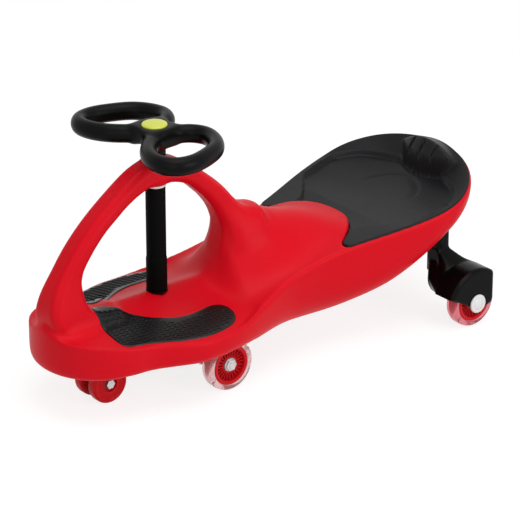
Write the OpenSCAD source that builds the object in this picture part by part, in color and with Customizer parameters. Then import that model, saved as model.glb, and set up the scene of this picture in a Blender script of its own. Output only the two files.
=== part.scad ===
// Wiggle car: a ride-on toy that is driven by swinging its steering wheel from side to side.
// X points forwards, Y to the rider's left and Z up, with the origin on the ground below the middle.

/* [Body] */
// Length of the moulded body, nose to tail
body_len = 762; // [720:2:820]
// Half width across the seat
seat_half_w = 146; // [138:1:156]
// Half width across the foot deck
deck_half_w = 134; // [128:1:144]
// Half width at the waist
waist_half_w = 100; // [94:1:110]
// Plan radius of the nose
nose_r = 105; // [98:1:112]
// Height of the nose's top edge
nose_z = 135.5; // [130:0.5:144]
// Height of the nose's lower edge
nose_under_z = 79; // [75:1:84]
// Height of the deck's outer edge
deck_edge_z = 110; // [106:0.5:116]
// Height at which the deck's two slopes would meet
deck_z = 135.5; // [132:0.5:142]
// Rise of the spine above the deck's slopes
spine_rise = 9; // [6:1:12]
// Half breadth of the spine
spine_spread = 30; // [24:1:36]
// Height of the saddle behind the arch
saddle_z = 235.5; // [228:0.5:244]
// Height of the underside below the deck
belly_z = 67.5; // [66:0.5:74]
// Lowest height of the underside, below the waist
keel_z = 53.5; // [50:0.5:60]
// Height of the underside at the tail
tail_under_z = 209.5; // [204:0.5:218]
// Height of the rim at the seat's front tips
tip_z = 168.5; // [164:0.5:174]
// Height of the rim beside the rider's hips
hip_z = 200.5; // [196:0.5:206]
// Height of the rim behind the seat
back_z = 237.5; // [232:0.5:246]
// Width of the raised bank inside the nose's edge
bank_w = 16; // [12:1:20]
// Height of that bank
bank_h = 12; // [9:1:15]
// Wall of the hollow body
body_wall = 4; // [3:0.5:5]
// Width of the rim left around the seat
rim_edge = 4; // [3:0.5:6]

/* [Arch] */
// Height of the arch's flat top
arch_top_z = 351.5; // [344:0.5:360]
// Width of the arch across
arch_w = 42; // [40:1:48]
// Thickness of the arch seen from the side
arch_t = 32; // [29:1:35]
// Bevel along the arch's four edges
arch_bevel = 8; // [5:0.5:10]
// Radius of the boss that holds the upper bush
boss_r = 20; // [19:0.5:22]
// Drop of the boss below the arch's middle line
boss_drop = 20.5; // [18:0.5:24]

/* [Seat] */
// Thickness of the seat liner
seat_t = 4; // [3:0.5:6]
// Width of the bevel from the seat's rim to its pan
seat_bevel = 16; // [12:1:20]
// Run of the sloping seat back
seat_back_run = 30; // [27:1:33]
// Length of the body's tongue that reaches into the seat
tongue_len = 64; // [56:1:72]
// Half width of the tongue at the seat's tips
tongue_half_w = 88; // [82:1:92]
// Drop from the rim behind the seat to the pan
back_depth = 37; // [33:1:41]
// Width of each slot in the seat back
slot_w = 5; // [4:0.5:7]
// Depth of each slot
slot_depth = 2; // [1:0.5:3]
// Distance between slots
slot_pitch = 24; // [20:1:28]
// Radius of the pegs under the seat
seat_peg_r = 5; // [4:0.5:6]
// Length of the pegs below the seat and the pads
peg_len = 9; // [7:0.5:11]

/* [Foot pads] */
// Thickness of a foot pad
pad_t = 4; // [3:0.5:5]
// Body left outside a pad
pad_edge = 9; // [7:0.5:12]
// Distance of a pad's inner edge from the middle at its front
pad_inner_front = 42; // [38:1:48]
// Distance of a pad's inner edge from the middle at its rear
pad_inner_rear = 68; // [62:1:72]
// Radius of the pegs under a pad
pad_peg_r = 3; // [2.5:0.5:4]

/* [Steering column] */
// Radius of the steel shaft
shaft_r = 8; // [7:0.5:9]
// Radius of the column sleeve
sleeve_r = 14.7; // [14:0.1:16]
// Swell of the sleeve's foot
sleeve_swell = 0.8; // [0.4:0.1:1.2]
// Height of the sleeve's swollen foot
sleeve_foot_h = 50; // [40:1:60]
// Radius of the bushes
bush_r = 12; // [11.5:0.1:13]
// Radius of the bushes' flanges
flange_r = 16; // [15.5:0.1:17]
// Thickness of the flanges and of the washer under the steering wheel
flange_t = 3; // [2:0.5:4]
// Length of the bushes in the body
bush_len = 28; // [24:1:32]
// Room around the shaft between the bushes
shaft_room = 1; // [0.5:0.5:2]

/* [Steering wheel] */
// Height of the cap's top above the arch
cap_rise = 54; // [48:1:62]
// Radius of the round cap
cap_r = 18.8; // [17.5:0.1:20]
// Height of the cap
cap_h = 6.5; // [5:0.5:8]
// Radius of the hub
hub_r = 25; // [24:0.5:27]
// Radius of the lobes' round bar
bar_r = 12.5; // [11:0.5:13.5]
// Reach of a lobe's middle line ahead of and behind the column
lobe_reach = 66; // [62:1:70]
// Reach of a lobe's middle line to the side
lobe_out = 125; // [118:1:130]
// Fall of a lobe from the hub to its outer bar
lobe_fall = 2; // [1:0.5:5]
// Drop of the lobes' middle line below the hub's top
lobe_drop = 14; // [12.5:0.5:17]
// Length of the bolt below the cap
bolt_len = 20; // [14:1:26]

/* [Steering wheels] */
// Distance of the small wheels' axle ahead of the column
steer_reach = 105; // [98:1:110]
// Radius of the small wheels
steer_r = 30; // [28:0.5:31]
// Width of a small wheel
steer_w = 17; // [15:0.5:19]
// Radius of their bolt
steer_bolt_r = 4; // [3.5:0.5:5]
// Outer radius of their bearings
steer_bearing_r = 8; // [7.5:0.5:9]
// Thickness of the steering arm's blade
arm_t = 13; // [11:0.5:15]
// Height of the steering arm's bar
arm_h = 16; // [14:0.5:18]
// Radius of the arm's eye
eye_r = 12; // [10:0.5:14]
// Radius of the arm's hub
arm_hub_r = 19; // [17:0.5:21]
// Height of the arm's hub
arm_hub_h = 22; // [20:0.5:26]
// Radius of the pin through the arm's hub
pin_r = 3; // [2:0.5:4]
// Thickness of the washers beside the arm
washer_t = 1.5; // [1:0.5:2]
// Depth of the recess for their bolt's head and nut
steer_recess = 5; // [4:0.5:6]
// Radius of that recess
steer_recess_r = 11; // [10:0.5:12]
// Rounding of a small wheel's edges
steer_round = 4; // [3:0.5:5]
// Depth of the dish in a small wheel's faces
steer_dish = 3; // [2:0.5:4]

/* [Running wheels] */
// Radius of the running wheels
wheel_r = 40; // [38:0.5:42]
// Width of the running wheels
wheel_w = 24; // [23:0.5:26]
// Radius of the wheels' rims
rim_r = 31; // [29:0.5:33]
// Wall of a rim
rim_shell = 4; // [3:0.5:5]
// Depth of a wheel's hub below its sides
hub_sink = 5; // [4:0.5:6]
// Count of spokes on a rim's face
spoke_count = 24; // [16:1:28]
// Thickness of a spoke
spoke_t = 2.4; // [1.8:0.2:3]
// Radius of the axles
axle_r = 5; // [4.5:0.5:6]
// Outer radius of the wheel bearings
bearing_r = 11; // [10.5:0.5:12]
// Width of the wheel bearings
bearing_w = 6.5; // [5.5:0.5:7]
// Distance of the front axle behind the column
front_setback = 57.8; // [54:0.2:62]
// Distance from the middle to a front wheel's middle
front_track = 91.3; // [88:0.1:94]
// Distance from the middle to a rear wheel's middle
rear_track = 152; // [148:0.5:156]
// Rounding of a tyre's edges
tyre_round = 8; // [6:0.5:9]
// Room around a front wheel in the body
well_room = 8; // [6:0.5:10]
// Length of the carrier along the body
carrier_l = 32; // [30:1:36]
// Length of the spacer tubes on the front axle
spacer_l = 22; // [20:0.5:24]
// Height of the axle nuts
nut_h = 5; // [4:0.5:6]
// Radius of the screws
screw_r = 2.5; // [2:0.25:3]
// Height of the screw heads
screw_head_h = 3; // [2:0.5:4]
// Depth to which screws bite into the body
screw_bite = 10; // [8:0.5:12]

/* [Rear housings] */
// Radius of a rear housing about its axle
housing_r = 52.5; // [50:0.5:55]
// Wall of a rear housing
housing_wall = 3; // [2.5:0.5:4]
// Room between a rear wheel and its housing's outer cheek
housing_room = 2.2; // [2:0.1:4]
// Room between a rear wheel and its housing's inner cheek
inner_room = 7; // [6:0.5:9]
// Reach of a housing behind its axle
housing_back = 32.5; // [30:0.5:36]
// Reach of a housing ahead of its axle
housing_fore = 47.5; // [46:0.5:49]
// Lowest height of a post's root
root_low_z = 73; // [70:1:76]
// Highest height of a post's root
root_top_z = 112; // [109:1:115]
// Height of the screws' seat in a post
screw_seat_z = 92; // [88:1:96]
// Length of a housing's post
post_l = 23; // [21:1:26]
// Width of a housing's post
post_w = 26; // [24:1:30]
// Height of a post's top
post_z = 165.5; // [162:0.5:169]
// Distance from the middle to a post's middle
post_track = 95; // [92:1:98]
// Radius of the white end caps
end_cap_r = 14.7; // [13:0.1:16]
// Height of the white end caps
end_cap_h = 4; // [3:0.5:6]

/* [Hidden] */
// Clearances: loose parts, beds, running shafts and the end play of wheels
fit_gap = 0.3;
bed_gap = 0.1;
run_gap = 0.05;
end_play = 0.3;
// Height by which flat seats stand proud of the curved skin
land = 0.8;
overrun = 30;
$fn = 48;

// Places along the body, as shares of its half length
half_len = body_len / 2;
column_x_share = 0.4593;
deck_front_share = 0.459;
deck_rear_share = 0.407;
waist_front_share = -0.0525;
waist_rear_share = -0.105;
seat_share = -0.722;
tip_share = -0.2677;
tongue_share = -0.441;
waist_deck_share = 0.157;
pad_rear_share = 0.28;
pad_front_share = 0.795;
slot_start_share = 0.45;
slot_run_share = 0.7;
rear_axle_share = -0.8123;
post_share = -0.7717;
end_angle = 6;
quarter_turn = 90;
column_x = half_len * column_x_share;
nose_x = half_len - nose_r;
deck_front_x = half_len * deck_front_share;
deck_rear_x = half_len * deck_rear_share;
waist_front_x = half_len * waist_front_share;
waist_rear_x = half_len * waist_rear_share;
seat_x = half_len * seat_share;
tip_x = half_len * tip_share;
tongue_x = half_len * tongue_share;
waist_deck_x = half_len * waist_deck_share;
pad_rear_x = half_len * pad_rear_share;
pad_front_x = half_len * pad_front_share;
tail_len = half_len + seat_x;
spine_z = deck_z + spine_rise;
pad_depth = pad_t + bed_gap;

// Nuts, heads and spacer tubes as shares of the rods they sit on, and where the screws stand
hex_share = 1.8;
lock_nut_share = 1.5;
spacer_share = 1.6;
head_share = 2;
carrier_drop_share = 2.4;
carrier_spot_shares = [0.34, 0.72];
post_spot_share = 0.25;

// The column's stack, from the ground up
base_z = belly_z + body_wall;
arm_top_z = base_z - flange_t - end_play;
spine_land_z = spine_z + land;
lower_seat_z = spine_land_z - flange_t;
sleeve_z = spine_land_z + end_play;
arch_top_share = 1.17;
arch_mid_z = arch_top_z - land - arch_t * arch_top_share / 2;
boss_z = arch_mid_z - boss_drop;
sleeve_top_z = boss_z - flange_t - end_play;
neck_z = arch_top_z + flange_t + end_play;
cap_z = arch_top_z + cap_rise;
hub_top_z = cap_z - cap_h / 2;
lobe_z = hub_top_z - lobe_drop;

// The axles
steer_x = column_x + steer_reach;
front_x = column_x - front_setback;
rear_x = half_len * rear_axle_share;
post_x = half_len * post_share;

function clamp01(t) = min(1, max(0, t));
function ease(t) = let (c = clamp01(t)) c * c * (3 - 2 * c);
function pass(x, from, to) = ease((x - from) / (to - from));
function mix(a, b, share) = a + (b - a) * share;

// A smooth curve through rows of place and value, listed from the nose to the tail
function row_slope(rows, i) =
    let (a = max(0, i - 1), b = min(len(rows) - 1, i + 1))
    (rows[b][1] - rows[a][1]) / (rows[b][0] - rows[a][0]);
function row_index(rows, x) = max(0, min(len(rows) - 2, len([for (r = rows) if (r[0] >= x) r]) - 1));
function curve(rows, x) =
    let (i = row_index(rows, x), h = rows[i + 1][0] - rows[i][0])
    let (s = clamp01((x - rows[i][0]) / h), r = 1 - s)
    rows[i][1] * (1 + 2 * s) * r * r + row_slope(rows, i) * h * s * r * r
    + rows[i + 1][1] * s * s * (3 - 2 * s) - row_slope(rows, i + 1) * h * s * s * r;

// Half width of the body's rim
function nose_w(x) = sqrt(max(0, nose_r * nose_r - (x - nose_x) * (x - nose_x)));
function tail_w(x) = seat_half_w * sqrt(max(0, 1 - pow((seat_x - x) / tail_len, 2)));
function side_w(x) = nose_r + (deck_half_w - nose_r) * pass(x, nose_x, deck_front_x)
    + (waist_half_w - deck_half_w) * pass(x, deck_rear_x, waist_front_x)
    + (seat_half_w - waist_half_w) * pass(x, waist_rear_x, seat_x);
function rim_w(x) = x > nose_x ? nose_w(x) : x < seat_x ? tail_w(x) : side_w(x);

// Height of the rim, from the nose's edge over the deck and along the seat
rim_shares = [[1, 0, 1], [0.79, 0, 0.56], [0.54, 0, 0], [0.42, 0, 0], [0.29, 0.1, 0],
    [0.157, 0.3, 0], [0.026, 0.556, 0], [-0.131, 0.81, 0], [tip_share, 1, 0]];
seat_rim_shares = [[-0.394, 0.25], [-0.5, 0.47], [-0.633, 0.75], [seat_share, 1]];
back_rim_shares = [[-0.835, 0.38], [-0.919, 0.7], [-1, 1]];
rim_rows = concat(
    [for (r = rim_shares) [half_len * r[0],
        deck_edge_z + (tip_z - deck_edge_z) * r[1] + (nose_z - deck_edge_z) * r[2]]],
    [for (r = seat_rim_shares) [half_len * r[0], mix(tip_z, hip_z, r[1])]],
    [for (r = back_rim_shares) [half_len * r[0], mix(hip_z, back_z, r[1])]]);
function rim_z(x) = curve(rim_rows, x);

// Height of the underside along the middle
belly_shares = [[1, 1], [0.892, 0.45], [0.787, 0.1], [0.525, 0], [0.315, 0]];
keel_shares = [[0.157, 0.5], [-0.0525, 0.14], [-0.205, 0]];
tail_shares = [[-0.323, 0.032], [-0.459, 0.122], [-0.554, 0.237], [-0.659, 0.417],
    [-0.732, 0.551], [-0.866, 0.79], [-0.945, 0.91], [-1, 1]];
under_rows = concat(
    [for (r = belly_shares) [half_len * r[0], mix(belly_z, nose_under_z, r[1])]],
    [for (r = keel_shares) [half_len * r[0], mix(keel_z, belly_z, r[1])]],
    [for (r = tail_shares) [half_len * r[0], mix(keel_z, tail_under_z, r[1])]]);
function under_z(x) = curve(under_rows, x);
// The section below the rim is a superellipse, squarer under the deck
belly_power = 6;
tail_power = 4;
function power(x) = mix(tail_power, belly_power, pass(x, waist_front_x, deck_front_x));

// Crown of the saddle, from the deck's spine up to the saddle and down to the tongue's end
climb_shares = [[0.341, 0], [0.276, 0.055], [0.223, 0.275], [0.163, 0.637], [0.105, 0.868],
    [0.0525, 1], [0, 0.98]];
fall_shares = [[-0.047, 0.8], [-0.131, 0.57], [-0.262, 0.32], [-0.394, 0.07], [tongue_share, 0]];
crown_rows = concat(
    [for (r = climb_shares) [half_len * r[0], mix(spine_z, saddle_z, r[1])]],
    [for (r = fall_shares) [half_len * r[0], mix(rim_z(tongue_x), saddle_z, r[1])]]);
function crown_z(x) = x < tongue_x ? rim_z(x) : max(rim_z(x), curve(crown_rows, x));

// Height of the body's top at a distance from the middle plane
deck_fall_share = 0.169;
bank_power = 1.5;
function deck_top(a) = deck_z - deck_fall_share * a + spine_rise * exp(-pow(a / spine_spread, 2));
function bank_top(x, a) = rim_z(x) - bank_h * pow(clamp01((rim_w(x) - a) / bank_w), bank_power);
function front_top(x, a) = max(deck_top(a), bank_top(x, a));
function saddle_top(x, a) = mix(rim_z(x), crown_z(x), (1 + cos(180 * clamp01(a / rim_w(x)))) / 2);
function top_z(x, a) = mix(saddle_top(x, a), front_top(x, a), pass(x, waist_deck_x, pad_rear_x));

// Stations along the body and points around each section
turn_steps = 6;
nose_stations = [for (i = [0:turn_steps - 1])
    nose_x + nose_r * cos(end_angle + (quarter_turn - end_angle) * i / turn_steps)];
side_steps = 24;
side_stations = [for (i = [0:side_steps]) mix(nose_x, seat_x, i / side_steps)];
tail_stations = [for (i = [turn_steps - 1:-1:0])
    seat_x - tail_len * cos(end_angle + (quarter_turn - end_angle) * i / turn_steps)];
top_shares = [0, 0.1, 0.21, 0.34, 0.5, 0.68, 0.85, 0.94, 1];
low_steps = 5;
function half_top(x, w) = [for (s = top_shares) [x, w * s, s == 1 ? rim_z(x) : top_z(x, w * s)]];
function half_low(x, w, rim, low) = [for (i = [1:low_steps])
    let (c = quarter_turn * i / low_steps, p = 2 / power(x))
    [x, w * pow(cos(c), p), rim - (rim - low) * pow(sin(c), p)]];
function mirrored(half) = [for (i = [len(half) - 2:-1:1]) [half[i].x, -half[i].y, half[i].z]];
function whole(half) = concat(half, mirrored(half));
function body_ring(x) =
    whole(concat(half_top(x, rim_w(x)), half_low(x, rim_w(x), rim_z(x), under_z(x))));

// A closed skin over rings of equal counts of points, looped or with ends fanned from their middles
function middle(ring) = [for (k = [0:2]) [for (p = ring) p[k]] * [for (p = ring) 1] / len(ring)];
module loft(rings, looped = false) {
    n = len(rings[0]);
    m = len(rings);
    sides = [for (k = [0:m - (looped ? 1 : 2)]) for (j = [0:n - 1])
        let (a = k * n + j, b = k * n + (j + 1) % n)
        let (c = (k + 1) % m * n + j, d = (k + 1) % m * n + (j + 1) % n)
            each [[a, c, b], [b, c, d]]];
    ends = looped ? [] : [for (j = [0:n - 1]) let (i = (j + 1) % n)
        each [[m * n, j, i], [m * n + 1, (m - 1) * n + i, (m - 1) * n + j]]];
    middles = looped ? [] : [middle(rings[0]), middle(rings[m - 1])];
    polyhedron(points = concat([for (r = rings) each r], middles), faces = concat(sides, ends));
}

module hull_skin() {
    loft([for (x = concat(nose_stations, side_stations, tail_stations)) body_ring(x)]);
}

// The hollow inside the hull stops short of the tail, where the shell is solid
hollow_end_share = -0.83;
hollow_steps = 14;
hollow_inset_shares = [2, 5];
function hollow_inset(x) =
    mix(hollow_inset_shares[0], hollow_inset_shares[1], pass(x, waist_rear_x, seat_x));
function hollow_top(x, a) = min(top_z(x, a) - body_wall - pad_depth * pass(x, waist_deck_x, pad_rear_x),
    x < tip_x ? floor_z(x) - body_wall : saddle_z);
function hollow_ring(x) =
    let (w = rim_w(x) - body_wall * hollow_inset(x), rim = min(rim_z(x) - body_wall * 2, hollow_top(x, w)))
    whole(concat([for (s = top_shares) [x, w * s, s == 1 ? rim : max(rim, hollow_top(x, w * s))]],
        half_low(x, w, rim, min(rim - body_wall, under_z(x) + body_wall))));
module hull_hollow() {
    loft([for (i = [0:hollow_steps])
        hollow_ring(mix(nose_x + nose_r / 2, half_len * hollow_end_share, i / hollow_steps))]);
}

// The arch follows a curve in the middle plane: place, height, thickness and width as shares
arch_shares = [[0.88, -0.1, 1.375, 1.5], [0.885, 0.061, 1.375, 1.43], [0.858, 0.213, 1.25, 1.19],
    [0.755, 0.437, 1.05, 1.05], [0.672, 0.553, 1, 1], [0.534, 0.7, 0.92, 1], [0.38, 0.827, 0.92, 1],
    [0.208, 0.942, 1.03, 1], [0.083, 0.987, 1.11, 1], [0, 1, arch_top_share, 1], [-0.108, 0.985, 1.13, 1],
    [-0.243, 0.924, 1.02, 1], [-0.398, 0.798, 0.98, 1], [-0.5, 0.688, 1.07, 1.05],
    [-0.583, 0.567, 1.17, 1.14], [-0.663, 0.433, 1.5, 1.29], [-0.745, 0.289, 1.88, 1.43]];
arch_reach = half_len - column_x;
arch_rows = [for (r = arch_shares)
    [column_x + arch_reach * r[0], mix(deck_z, arch_mid_z, r[1]), arch_t * r[2], arch_w * r[3]]];
arch_steps = 2;
arch_step_share = 0.01;
function arch_row(i) = arch_rows[max(0, min(len(arch_rows) - 1, i))];
function arch_at(u) =
    let (i = min(len(arch_rows) - 2, floor(u)), s = u - i)
    let (a = arch_row(i - 1), b = arch_row(i), c = arch_row(i + 1), d = arch_row(i + 2))
    b + (c - a) * s / 2 + (a * 2 - b * 5 + c * 4 - d) * s * s / 2
    + (b * 3 - a - c * 3 + d) * s * s * s / 2;
function arch_section(w, t, e) = [[w - e, t], [w, t - e], [w, e - t], [w - e, -t],
    [e - w, -t], [-w, e - t], [-w, t - e], [e - w, t]];
function arch_ring(u, wall) =
    let (c = arch_at(u), step = arch_step_share, ahead = arch_at(min(len(arch_rows) - 1, u + step)),
        back = arch_at(max(0, u - step)), dx = ahead[0] - back[0], dz = ahead[1] - back[1],
        l = norm([dx, dz]), nx = dz / l, nz = -dx / l)
    [for (p = arch_section(c[3] / 2 - wall, c[2] / 2 - wall, arch_bevel - wall / 2))
        [c[0] + nx * p[1], p[0], c[1] + nz * p[1]]];
module arch_skin(wall) {
    loft([for (k = [0:(len(arch_rows) - 1) * arch_steps]) arch_ring(k / arch_steps, wall)]);
}

// The seat liner lies on a floor that runs straight across the body
pan_shares = [[tip_share, 0], [tongue_share, 0.3], [-0.525, 0.345], [-0.656, 0.43],
    [-0.787, 0.63], [-0.906, 1]];
pan_low_z = tip_z - seat_t;
pan_back_z = back_z - back_depth;
pan_rows = [for (r = pan_shares) [half_len * r[0], mix(pan_low_z, pan_back_z, r[1])]];
pan_end_x = half_len * pan_shares[len(pan_shares) - 1][0];
back_lift_share = 0.72;
function pan_z(x) = curve(pan_rows, x);
function floor_z(x) = x > pan_end_x ? pan_z(x) - seat_t
    : pan_back_z - seat_t + (pan_end_x - x) * back_lift_share;
function seat_w(x, edge) = x > seat_x ? side_w(x) - edge
    : (seat_half_w - edge) * sqrt(max(0, 1 - pow((seat_x - x) / (tail_len - edge), 2)));
function seat_top(x, a, edge) =
    let (side = ease((a - seat_w(x, edge) + seat_bevel) / seat_bevel))
    let (back = ease((pan_end_x - x) / seat_back_run))
    mix(min(rim_z(x), pan_z(x)), rim_z(x), max(side, back));
seat_steps = 16;
function seat_stations(edge, gap) = concat(
    [for (i = [0:seat_steps]) mix(tip_x - gap, seat_x, i / seat_steps)],
    [for (i = [turn_steps - 1:-1:0])
        seat_x - (tail_len - edge) * cos(end_angle + (quarter_turn - end_angle) * i / turn_steps)]);
seat_shares = [-1, -0.94, -0.88, -0.7, -0.35, 0, 0.35, 0.7, 0.88, 0.94, 1];
function seat_ring(x, edge) = let (w = seat_w(x, edge)) concat(
    [for (s = seat_shares) [x, w * s, seat_top(x, abs(w * s), edge)]],
    [[x, w, floor_z(x) + bed_gap], [x, -w, floor_z(x) + bed_gap]]);
function recess_ring(x) = let (w = seat_w(x, rim_edge))
    [[x, -w, back_z + overrun], [x, w, back_z + overrun], [x, w, floor_z(x)], [x, -w, floor_z(x)]];
tongue_power = 2.4;
tongue_steps = 12;
tongue_line = [for (i = [-tongue_steps:tongue_steps])
    [pow(abs(i) / tongue_steps, tongue_power), i / tongue_steps]];
module tongue(gap) {
    linear_extrude(back_z + overrun * 2)
        polygon(concat(
            [for (r = tongue_line) [tongue_x - gap + tongue_len * r[0], (tongue_half_w + gap) * r[1]]],
            [[tip_x + overrun, tongue_half_w + gap], [tip_x + overrun, -tongue_half_w - gap]]));
}
module seat_recess() {
    difference() {
        loft([for (x = seat_stations(rim_edge, 0)) recess_ring(x)]);
        tongue(0);
    }
}
peg_shares = [[-0.604, 0.55], [-0.8, 0.4]];
peg_spots = [for (r = peg_shares) for (side = [-1, 1]) [half_len * r[0], seat_half_w * r[1] * side]];
module seat_pegs(gap) {
    for (p = peg_spots) translate([p.x, p.y, floor_z(p.x) - peg_len - gap])
        cylinder(r = seat_peg_r + gap, h = peg_len + seat_t / 2 + gap);
}
slot_lean = atan2(back_depth, seat_back_run);
module seat_slots() {
    for (k = [-1:1]) translate([pan_end_x, slot_pitch * k, pan_back_z]) rotate([0, slot_lean - 180, 0])
        translate([seat_back_run * slot_start_share, -slot_w / 2, -slot_depth])
            cube([seat_back_run * slot_run_share, slot_w, overrun]);
}

// Foot pads lie in pockets that are sunk into the deck's two slopes
pad_tilt = atan(deck_fall_share);
pad_steps = 20;
pad_power = 5;
function pad_inner(x) =
    mix(pad_inner_front, pad_inner_rear, pass(x, deck_front_x + steer_reach, pad_rear_x));
function pad_edge_y(x, side, s, gap) =
    let (inner = pad_inner(x) - gap, outer = rim_w(x) - pad_edge + gap,
        bulge = pow(max(0, 1 - pow(abs(2 * s - 1), pad_power)), 1 / pad_power))
    ((inner + outer) / 2 + side * (outer - inner) / 2 * bulge) / cos(pad_tilt);
function pad_x(s, gap) = mix(pad_front_x + gap, pad_rear_x - gap, s);
function pad_share(i) = (1 - cos(180 * i / pad_steps)) / 2;
function pad_point(i, side, gap) =
    let (s = pad_share(i), x = pad_x(s, gap))
    [x, pad_edge_y(x, side, s, gap)];
module pad_outline(gap) {
    polygon(concat(
        [for (i = [0:pad_steps]) pad_point(i, 1, gap)],
        [for (i = [pad_steps - 1:-1:1]) pad_point(i, -1, gap)]));
}
pad_peg_shares = [0.25, 0.8];
module on_deck() {
    translate([0, 0, deck_z]) rotate([-pad_tilt, 0, 0]) children();
}
module pad_pegs(gap) {
    for (s = pad_peg_shares) let (x = mix(pad_front_x, pad_rear_x, s))
        translate([x, (pad_inner(x) + rim_w(x)) / 2, -pad_depth - peg_len - gap])
            cylinder(r = pad_peg_r + gap, h = peg_len + pad_t / 2 + gap);
}
module foot_pad() {
    on_deck() {
        translate([0, 0, -pad_t]) linear_extrude(pad_t) pad_outline(0);
        pad_pegs(0);
    }
}
module pad_pocket() {
    on_deck() {
        translate([0, 0, -pad_depth]) linear_extrude(overrun) pad_outline(fit_gap);
        pad_pegs(fit_gap);
    }
}

// Turns a round part so that it stands on the axle line that runs from side to side
module across(x, y, z) {
    translate([x, y, z]) rotate([-90, 0, 0]) children();
}
module tube(outer, inner, h) {
    difference() {
        cylinder(r = outer, h = h);
        translate([0, 0, -overrun]) cylinder(r = inner, h = h + overrun * 2);
    }
}
module hex(r, h, bore) {
    difference() {
        cylinder(r = r, h = h, $fn = 6);
        translate([0, 0, -overrun]) cylinder(r = bore, h = h + overrun * 2);
    }
}

// The carrier below the deck holds the front axle
hub_half = wheel_w / 2 - hub_sink;
carrier_half = front_track - hub_half - spacer_l;
carrier_bottom = wheel_r - axle_r * carrier_drop_share;
carrier_spots = [for (i = [-1, 1]) for (k = [-1, 1])
    [front_x + carrier_l * carrier_spot_shares.x * i, carrier_half * carrier_spot_shares.y * k]];
module carrier_block(gap, top) {
    translate([front_x - carrier_l / 2 - gap, -carrier_half - gap, 0])
        cube([carrier_l + gap * 2, carrier_half * 2 + gap * 2, top]);
}
module well(side, gap) {
    across(front_x, side * front_track - wheel_w / 2 - well_room - gap, wheel_r)
        cylinder(r = wheel_r + well_room + gap, h = wheel_w + (well_room + gap) * 2);
}
module post(side, gap, low) {
    translate([post_x - post_l / 2 - gap, side * post_track - post_w / 2 - gap, low])
        cube([post_l + gap * 2, post_w + gap * 2, post_z + gap - low]);
}
bracket_spots = [for (side = [-1, 1]) for (i = [-1, 1])
    [post_x, (post_track + post_w * post_spot_share * i) * side]];

module body_hollow() {
    difference() {
        union() {
            hull_hollow();
            arch_skin(body_wall);
        }
        translate([column_x, 0, 0]) cylinder(r = boss_r + body_wall / 2, h = arch_top_z + overrun);
        carrier_block(body_wall, base_z + screw_bite + body_wall);
        for (side = [-1, 1]) {
            well(side, body_wall);
            post(side, body_wall, 0);
        }
    }
}
module column_bores() {
    translate([column_x, 0, 0]) {
        cylinder(r = flange_r + body_wall, h = base_z);
        cylinder(r = shaft_r + shaft_room, h = arch_top_z + overrun);
        translate([0, 0, base_z - bed_gap]) cylinder(r = bush_r, h = bush_len + bed_gap);
        translate([0, 0, lower_seat_z - bush_len]) cylinder(r = bush_r, h = bush_len + bed_gap);
        translate([0, 0, lower_seat_z]) cylinder(r = flange_r + fit_gap, h = overrun);
        translate([0, 0, boss_z - bed_gap]) cylinder(r = bush_r, h = bush_len + bed_gap);
    }
}
module body_shell() {
    color("crimson") difference() {
        union() {
            hull_skin();
            arch_skin(0);
            translate([column_x, 0, boss_z]) cylinder(r = boss_r, h = arch_top_z - boss_z);
            translate([column_x, 0, base_z])
                cylinder(r = flange_r + body_wall / 2, h = spine_land_z - base_z);
        }
        body_hollow();
        column_bores();
        seat_recess();
        seat_pegs(fit_gap);
        pad_pocket();
        mirror([0, 1, 0]) pad_pocket();
        carrier_block(fit_gap, base_z);
        for (p = carrier_spots) translate([p.x, p.y, 0])
            cylinder(r = screw_r + fit_gap, h = base_z + screw_bite);
        for (p = bracket_spots) translate([p.x, p.y, 0])
            cylinder(r = screw_r + fit_gap, h = post_z + screw_bite);
        for (side = [-1, 1]) {
            well(side, 0);
            post(side, fit_gap, 0);
        }
    }
}

module seat() {
    color("dimgray") union() {
        difference() {
            loft([for (x = seat_stations(rim_edge + fit_gap, fit_gap)) seat_ring(x, rim_edge + fit_gap)]);
            tongue(fit_gap);
            seat_slots();
        }
        seat_pegs(0);
    }
}
module foot_pad_left() {
    color("black") foot_pad();
}
module foot_pad_right() {
    color("black") mirror([0, 1, 0]) foot_pad();
}

module bush() {
    difference() {
        union() {
            cylinder(r = bush_r - run_gap, h = bush_len - bed_gap);
            translate([0, 0, -flange_t]) cylinder(r = flange_r, h = flange_t);
        }
        translate([0, 0, -overrun]) cylinder(r = shaft_r + run_gap, h = bush_len + overrun * 2);
    }
}
module upper_bush() {
    color("white") translate([column_x, 0, boss_z]) bush();
}
module lower_bush() {
    color("black") translate([column_x, 0, lower_seat_z]) mirror([0, 0, 1]) bush();
}
module base_bush() {
    color("white") translate([column_x, 0, base_z]) bush();
}
module neck_washer() {
    color("white") translate([column_x, 0, arch_top_z]) tube(flange_r, shaft_r + fit_gap, flange_t);
}

module front_axle_carrier() {
    color("black") difference() {
        translate([front_x - carrier_l / 2, -carrier_half, carrier_bottom])
            cube([carrier_l, carrier_half * 2, base_z - bed_gap - carrier_bottom]);
        across(front_x, -carrier_half - overrun, wheel_r)
            cylinder(r = axle_r + run_gap, h = (carrier_half + overrun) * 2);
        for (p = carrier_spots) translate([p.x, p.y, 0])
            cylinder(r = screw_r + fit_gap, h = base_z + overrun);
    }
}
module screw(low, top) {
    translate([0, 0, low]) cylinder(r = screw_r, h = top - low);
    translate([0, 0, low - screw_head_h]) cylinder(r = screw_r * head_share, h = screw_head_h);
}
module carrier_screws() {
    color("silver") for (p = carrier_spots) translate([p.x, p.y, 0])
        screw(carrier_bottom, base_z + screw_bite - end_play);
}
front_end = front_track + hub_half + end_play;
module front_axle() {
    color("silver") across(front_x, -front_end - nut_h - end_play, wheel_r)
        cylinder(r = axle_r, h = (front_end + nut_h + end_play) * 2);
}
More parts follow.
